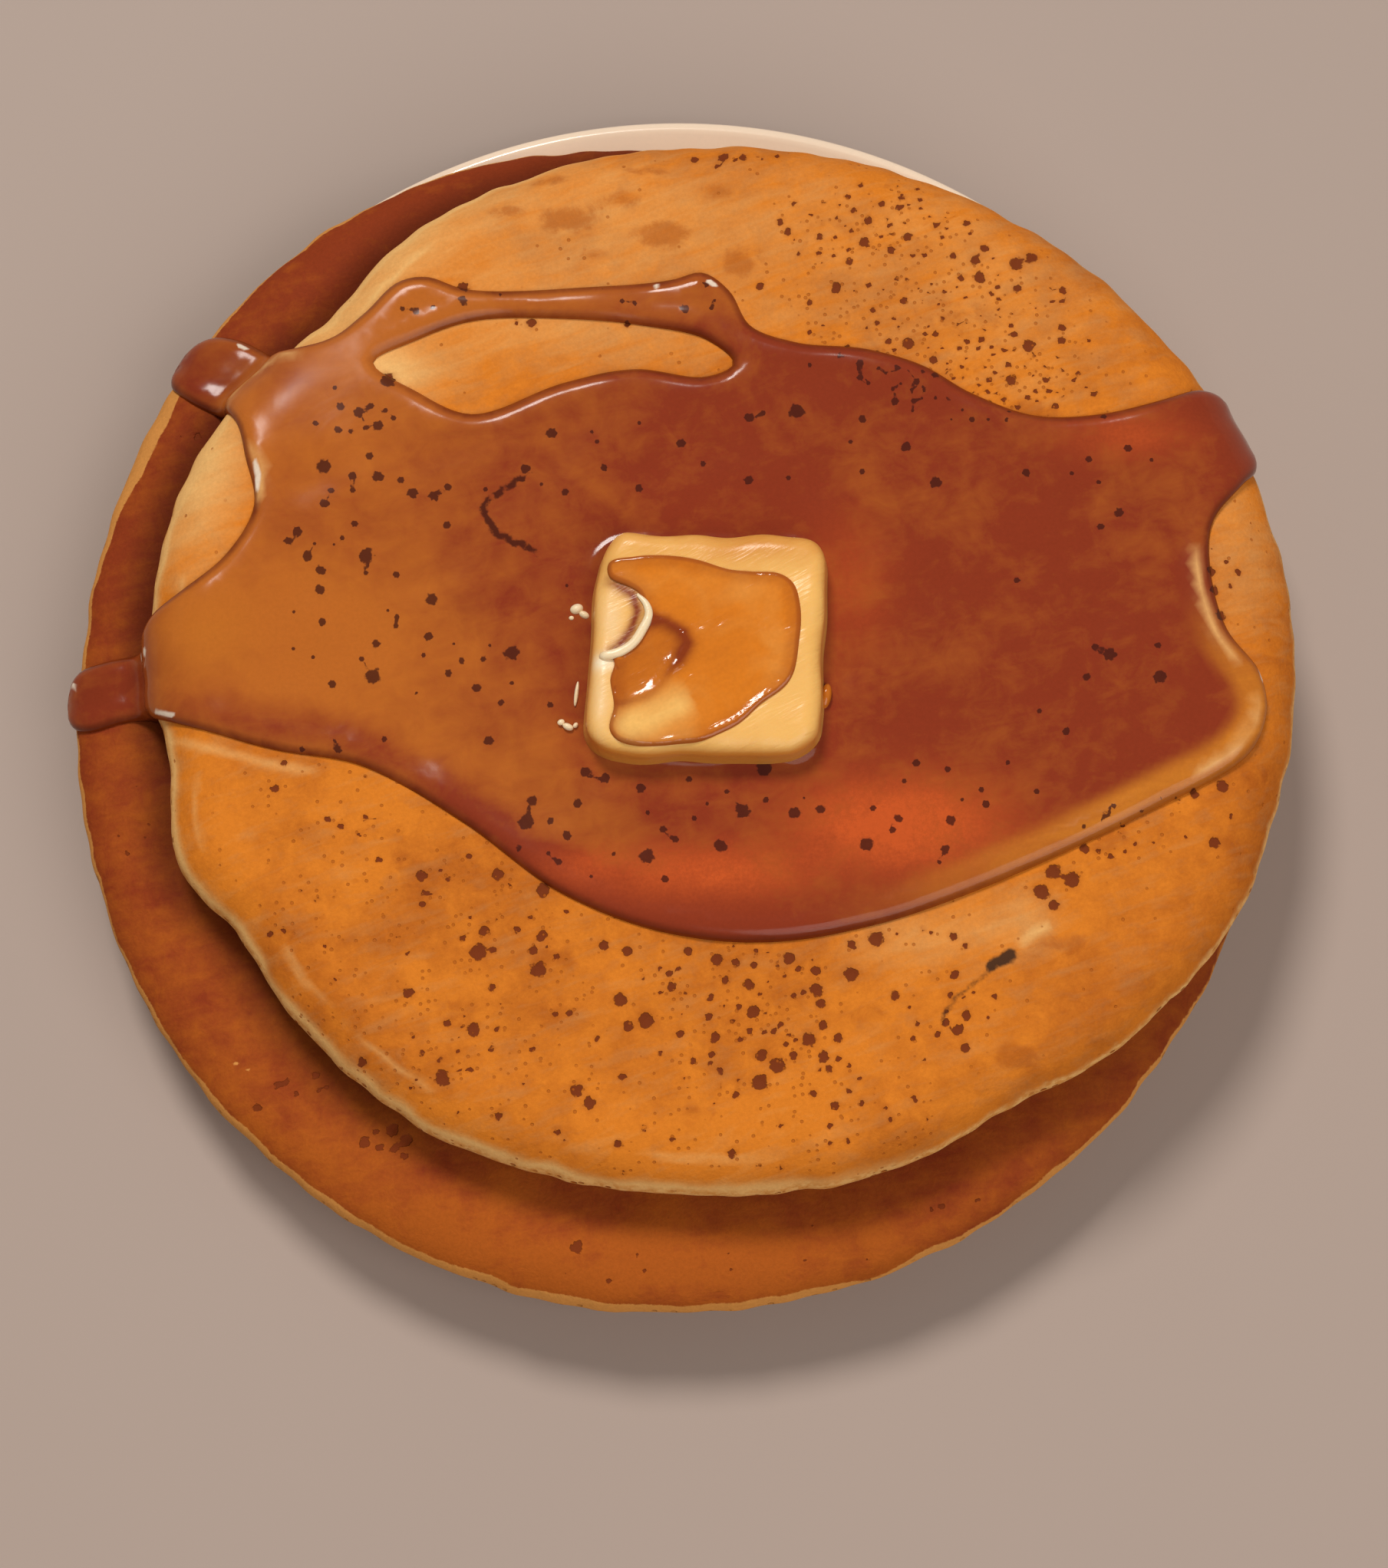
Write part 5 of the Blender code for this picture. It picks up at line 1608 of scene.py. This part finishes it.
def make_film(settings):
    """The melted film: a thin sheet on the butter, rounded at its border, with a raised fold."""
    outline = smooth_loop(FILM_OUTLINE, 0.4)
    grid = triangle_grid(outline, 0.45)
    inner = grid[distance_to_loops(grid, [outline]) > 1.0]
    plan, triangles = fill_region(outline, [], FILM_RINGS, inner)
    edge = distance_to_loops(plan, [outline])
    x, y = plan[:, 0], plan[:, 1]
    base = butter_surface(x, y) - film_bed(edge)
    fold_away, fold_share = path_distance(x, y, FOLD)
    fold = bell(fold_away, 0.9) * smooth_step(fold_share, 1.0, 0.55)
    pocket = inside(plan, np.array([*FOLD, *POCKET_END])) * smooth_step(fold_away, 0.0, 1.6)
    rise = 0.50 * quarter_round(edge / 0.9) + 0.06 * ripples(x, y, 6.0, 12) + 0.30 * fold
    place = warped(x, y)
    bottom = np.column_stack([*place, base - FILM_SUNK])
    top = np.column_stack([*place, base + 0.03 + rise - 0.10 * pocket])
    border = 0.6 * smooth_step(edge, 0.8, 0.35)
    # Painted reflection: the pale sweep across the film's front.
    pale = stroke(x, y, SWEEP, 2.1) + 0.25 * stroke(x, y, ((-9, -9.8), (2, -10)), 1.2)
    pale += blots(x, y, ((9, 9, 4.0, 3.0, 0.15), (11.5, 1.0, 2.0, 5.0, 0.15)))
    dark = bell(fold_away, 1.1) * smooth_step(fold_share, 0.66, 0.38)
    dark += 0.45 * bell(fold_away, 0.6) * smooth_step(fold_share, 0.3, 0.6)
    dark += 0.32 * pocket + 0.12 * blots(x, y, ((3, 3, 5, 6, 1.0),))
    dark += 0.25 * smooth_step(edge, 2.6, 0.8)
    fields = {"border": border, "pale": pale, "dark": dark}
    fields = {key: np.tile(value, 2) for key, value in fields.items()}
    mesh, finish = sheet_mesh("butter_film", triangles, bottom, top), film_finish(settings)
    add_piece("butter_film", mesh, finish, ["syrup_on_butter"], fields)


def bead_rings(path, radii, flatten):
    """Rings of a low bead along a path of places: flattened circles, across the path."""
    path, radii = np.array(path, dtype=float), np.array(radii)
    along = np.gradient(path, axis=0)
    along /= np.linalg.norm(along, axis=1, keepdims=True)
    across = np.stack([along[:, 1], -along[:, 0], np.zeros(len(path))], axis=1)
    across /= np.linalg.norm(across, axis=1, keepdims=True)
    angle = around(BEAD_SIDES)
    rings = path[:, None, :] + radii[:, None, None] * across[:, None, :] * np.cos(angle)[:, None]
    rings[..., 2] += radii[:, None] * flatten * np.sin(angle)[None, :]
    return rings


def add_beads(name, beads, material, levels_of):
    """One piece from several closed beads, with even fields."""
    points, quads, triangles, start = [], [], [], 0
    for rings in beads:
        levels, sides = rings.shape[:2]
        ends = [rings[0].mean(axis=0), rings[-1].mean(axis=0)]
        points += [rings.reshape(-1, 3), ends]
        some_quads, some_triangles = ring_faces(levels, sides)
        quads.append(some_quads + start)
        triangles.append(some_triangles + start)
        start += levels * sides + 2
    points = np.vstack(points)
    mesh = build_mesh(name, points, np.vstack(quads), np.vstack(triangles))
    fields = {key: np.full(len(points), level) for key, level in levels_of.items()}
    add_piece(name, mesh, material, (), fields)


def drop_rings(level, x, y, length, width, height, turn):
    """Rings of a lying drop: its radius follows a half circle along its length."""
    share = np.linspace(0.0, math.pi, DROP_RINGS + 2)[1:-1]
    along = -np.cos(share) * length
    levels = np.full(DROP_RINGS, level)
    path = np.column_stack([x + along * math.cos(turn), y + along * math.sin(turn), levels])
    return bead_rings(path, width * np.sin(share), height / width)


def make_butter_drops(settings):
    """The pale fold at the film's notch, its white partly a painted highlight, and small drops of
    butter beside the pat, the long thin one a painted glint.
    """
    share = np.linspace(0.0, 1.0, CURL_STEPS)
    curl = smooth_open(CURL, CURL_STEPS).T
    arch = np.sin(math.pi * share)
    swollen_end = smooth_step(share, 0.6, 0.95) * smooth_step(share, 1.0, 0.97)
    radii = 0.12 + 0.50 * arch ** 0.6 + 0.25 * swollen_end
    path = np.column_stack([*warped(*curl), butter_surface(*curl) + 0.18 + 0.30 * arch])
    material, white_and_glint = butter_finish(settings), {"warm": 0.0, "white": 0.8, "line": 0.0}
    add_beads("butter_curl", [bead_rings(path, radii, 0.75)], material, white_and_glint)
    pool = BUTTER_LEVEL + DROP_LEVEL
    beads = [drop_rings(pool, *drop) for drop in BUTTER_DROPS]
    add_beads("butter_drops", beads, material, white_and_glint)
    amber = [drop_rings(pool + AMBER_LEVEL, *AMBER_DROP)]
    levels = {"border": 0.2, "pale": 0.0, "dark": 0.15}
    add_beads("amber_drop", amber, film_finish(settings), levels)


# Stage


def add_soft_sun(name, direction, spread, strength, colour):
    """Even light from one direction, as from a softbox of a given angle far away."""
    light = bpy.data.lights.new(name, "SUN")
    light.energy = strength
    light.angle = math.radians(spread)
    light.color = colour
    lamp = add_object(name, light)
    lamp.rotation_euler = Vector(direction).to_track_quat("Z", "Y").to_euler()
    lamp.location = Vector(direction).normalized()


def make_floor(settings):
    """A wide, flat disc under the plate's foot."""
    here, angle = np.arange(FLOOR_SIDES), around(FLOOR_SIDES)
    rim = FLOOR_RADIUS * np.stack([np.cos(angle), np.sin(angle), np.zeros(FLOOR_SIDES)], axis=1)
    faces = np.stack([np.full(FLOOR_SIDES, FLOOR_SIDES), here, (here + 1) % FLOOR_SIDES], axis=1)
    points = np.vstack([rim, np.zeros((1, 3))])
    mesh = build_mesh("floor", points, np.empty((0, 4), int), faces)
    mesh.materials.append(floor_finish(settings))
    floor = add_object("floor", mesh)


def make_camera():
    """The camera at the photograph's angle, level and turned to a point of the stack."""
    elevation = math.radians(CAMERA_ELEVATION)
    camera_data = bpy.data.cameras.new("camera")
    camera_data.lens = CAMERA_LENS
    camera_data.sensor_width = 36.0
    camera_data.clip_start = 0.01
    camera = add_object("camera", camera_data)
    away = Vector((0.0, -math.cos(elevation), math.sin(elevation)))
    camera.location = (Vector(CAMERA_AIM) + away * CAMERA_DISTANCE) * MM
    camera.rotation_euler = (-away).to_track_quat("-Z", "Y").to_euler()
    bpy.context.scene.camera = camera


def make_stage(settings):
    """Floor, soft light and camera."""
    make_floor(settings)
    add_soft_sun("key_light", KEY_DIRECTION, KEY_SPREAD, settings.key, KEY_COLOUR)
    add_soft_sun("fill_light", FILL_DIRECTION, FILL_SPREAD, settings.fill, FILL_COLOUR)
    world = bpy.context.scene.world or bpy.data.worlds.new("sky")
    bpy.context.scene.world = world
    world.use_nodes = True
    background = world.node_tree.nodes["Background"]
    background.inputs["Color"].default_value = SKY_COLOUR
    background.inputs["Strength"].default_value = settings.sky
    view = bpy.context.scene.view_settings
    view.view_transform = "Standard"
    view.look = "None"
    make_camera()


# Operators and panel


class PANCAKES_OT_plate(bpy.types.Operator):
    """Make the glazed plate"""

    bl_idname = "pancakes.plate"
    bl_label = "Plate"

    def execute(self, context):
        make_plate(context.scene.pancake_stack.plate)
        return {"FINISHED"}


class PANCAKES_OT_pancakes(bpy.types.Operator):
    """Make both pancakes"""

    bl_idname = "pancakes.pancakes"
    bl_label = "Pancakes"

    def execute(self, context):
        make_lower(context.scene.pancake_stack.pancakes)
        make_upper(context.scene.pancake_stack.pancakes)
        return {"FINISHED"}


class PANCAKES_OT_syrup(bpy.types.Operator):
    """Pour the syrup"""

    bl_idname = "pancakes.syrup"
    bl_label = "Syrup"

    def execute(self, context):
        make_syrup(context.scene.pancake_stack.syrup)
        return {"FINISHED"}


class PANCAKES_OT_butter(bpy.types.Operator):
    """Make the pat of butter and its melted film"""

    bl_idname = "pancakes.butter"
    bl_label = "Butter"

    def execute(self, context):
        make_butter(context.scene.pancake_stack.butter)
        make_film(context.scene.pancake_stack.butter)
        make_butter_drops(context.scene.pancake_stack.butter)
        return {"FINISHED"}


class PANCAKES_OT_stage(bpy.types.Operator):
    """Make the floor, the light and the camera"""

    bl_idname = "pancakes.stage"
    bl_label = "Stage"

    def execute(self, context):
        make_stage(context.scene.pancake_stack.stage)
        return {"FINISHED"}


STEPS = (
    PANCAKES_OT_plate, PANCAKES_OT_pancakes, PANCAKES_OT_syrup, PANCAKES_OT_butter,
    PANCAKES_OT_stage,
)


class PANCAKES_PT_panel(bpy.types.Panel):
    """Steps that make the stack, in order"""

    bl_label = "Pancake stack"
    bl_idname = "PANCAKES_PT_panel"
    bl_space_type = "VIEW_3D"
    bl_region_type = "UI"
    bl_category = "Pancakes"

    def draw(self, context):
        """List one button for each step."""
        for step in STEPS:
            self.layout.operator(step.bl_idname)


CLASSES = (
    PlateSettings, PancakeSettings, SyrupSettings, ButterSettings, StageSettings, StackSettings,
    *STEPS, PANCAKES_PT_panel,
)


def register():
    """Add the settings, the steps and the panel to Blender."""
    for item in CLASSES:
        bpy.utils.register_class(item)
    bpy.types.Scene.pancake_stack = PointerProperty(type=StackSettings)


def unregister():
    """Take them away again."""
    del bpy.types.Scene.pancake_stack
    for item in reversed(CLASSES):
        bpy.utils.unregister_class(item)


def main():
    register()
    bpy.ops.pancakes.plate()
    bpy.ops.pancakes.pancakes()
    bpy.ops.pancakes.syrup()
    bpy.ops.pancakes.butter()
    bpy.ops.pancakes.stage()


if __name__ == "__main__":
    main()
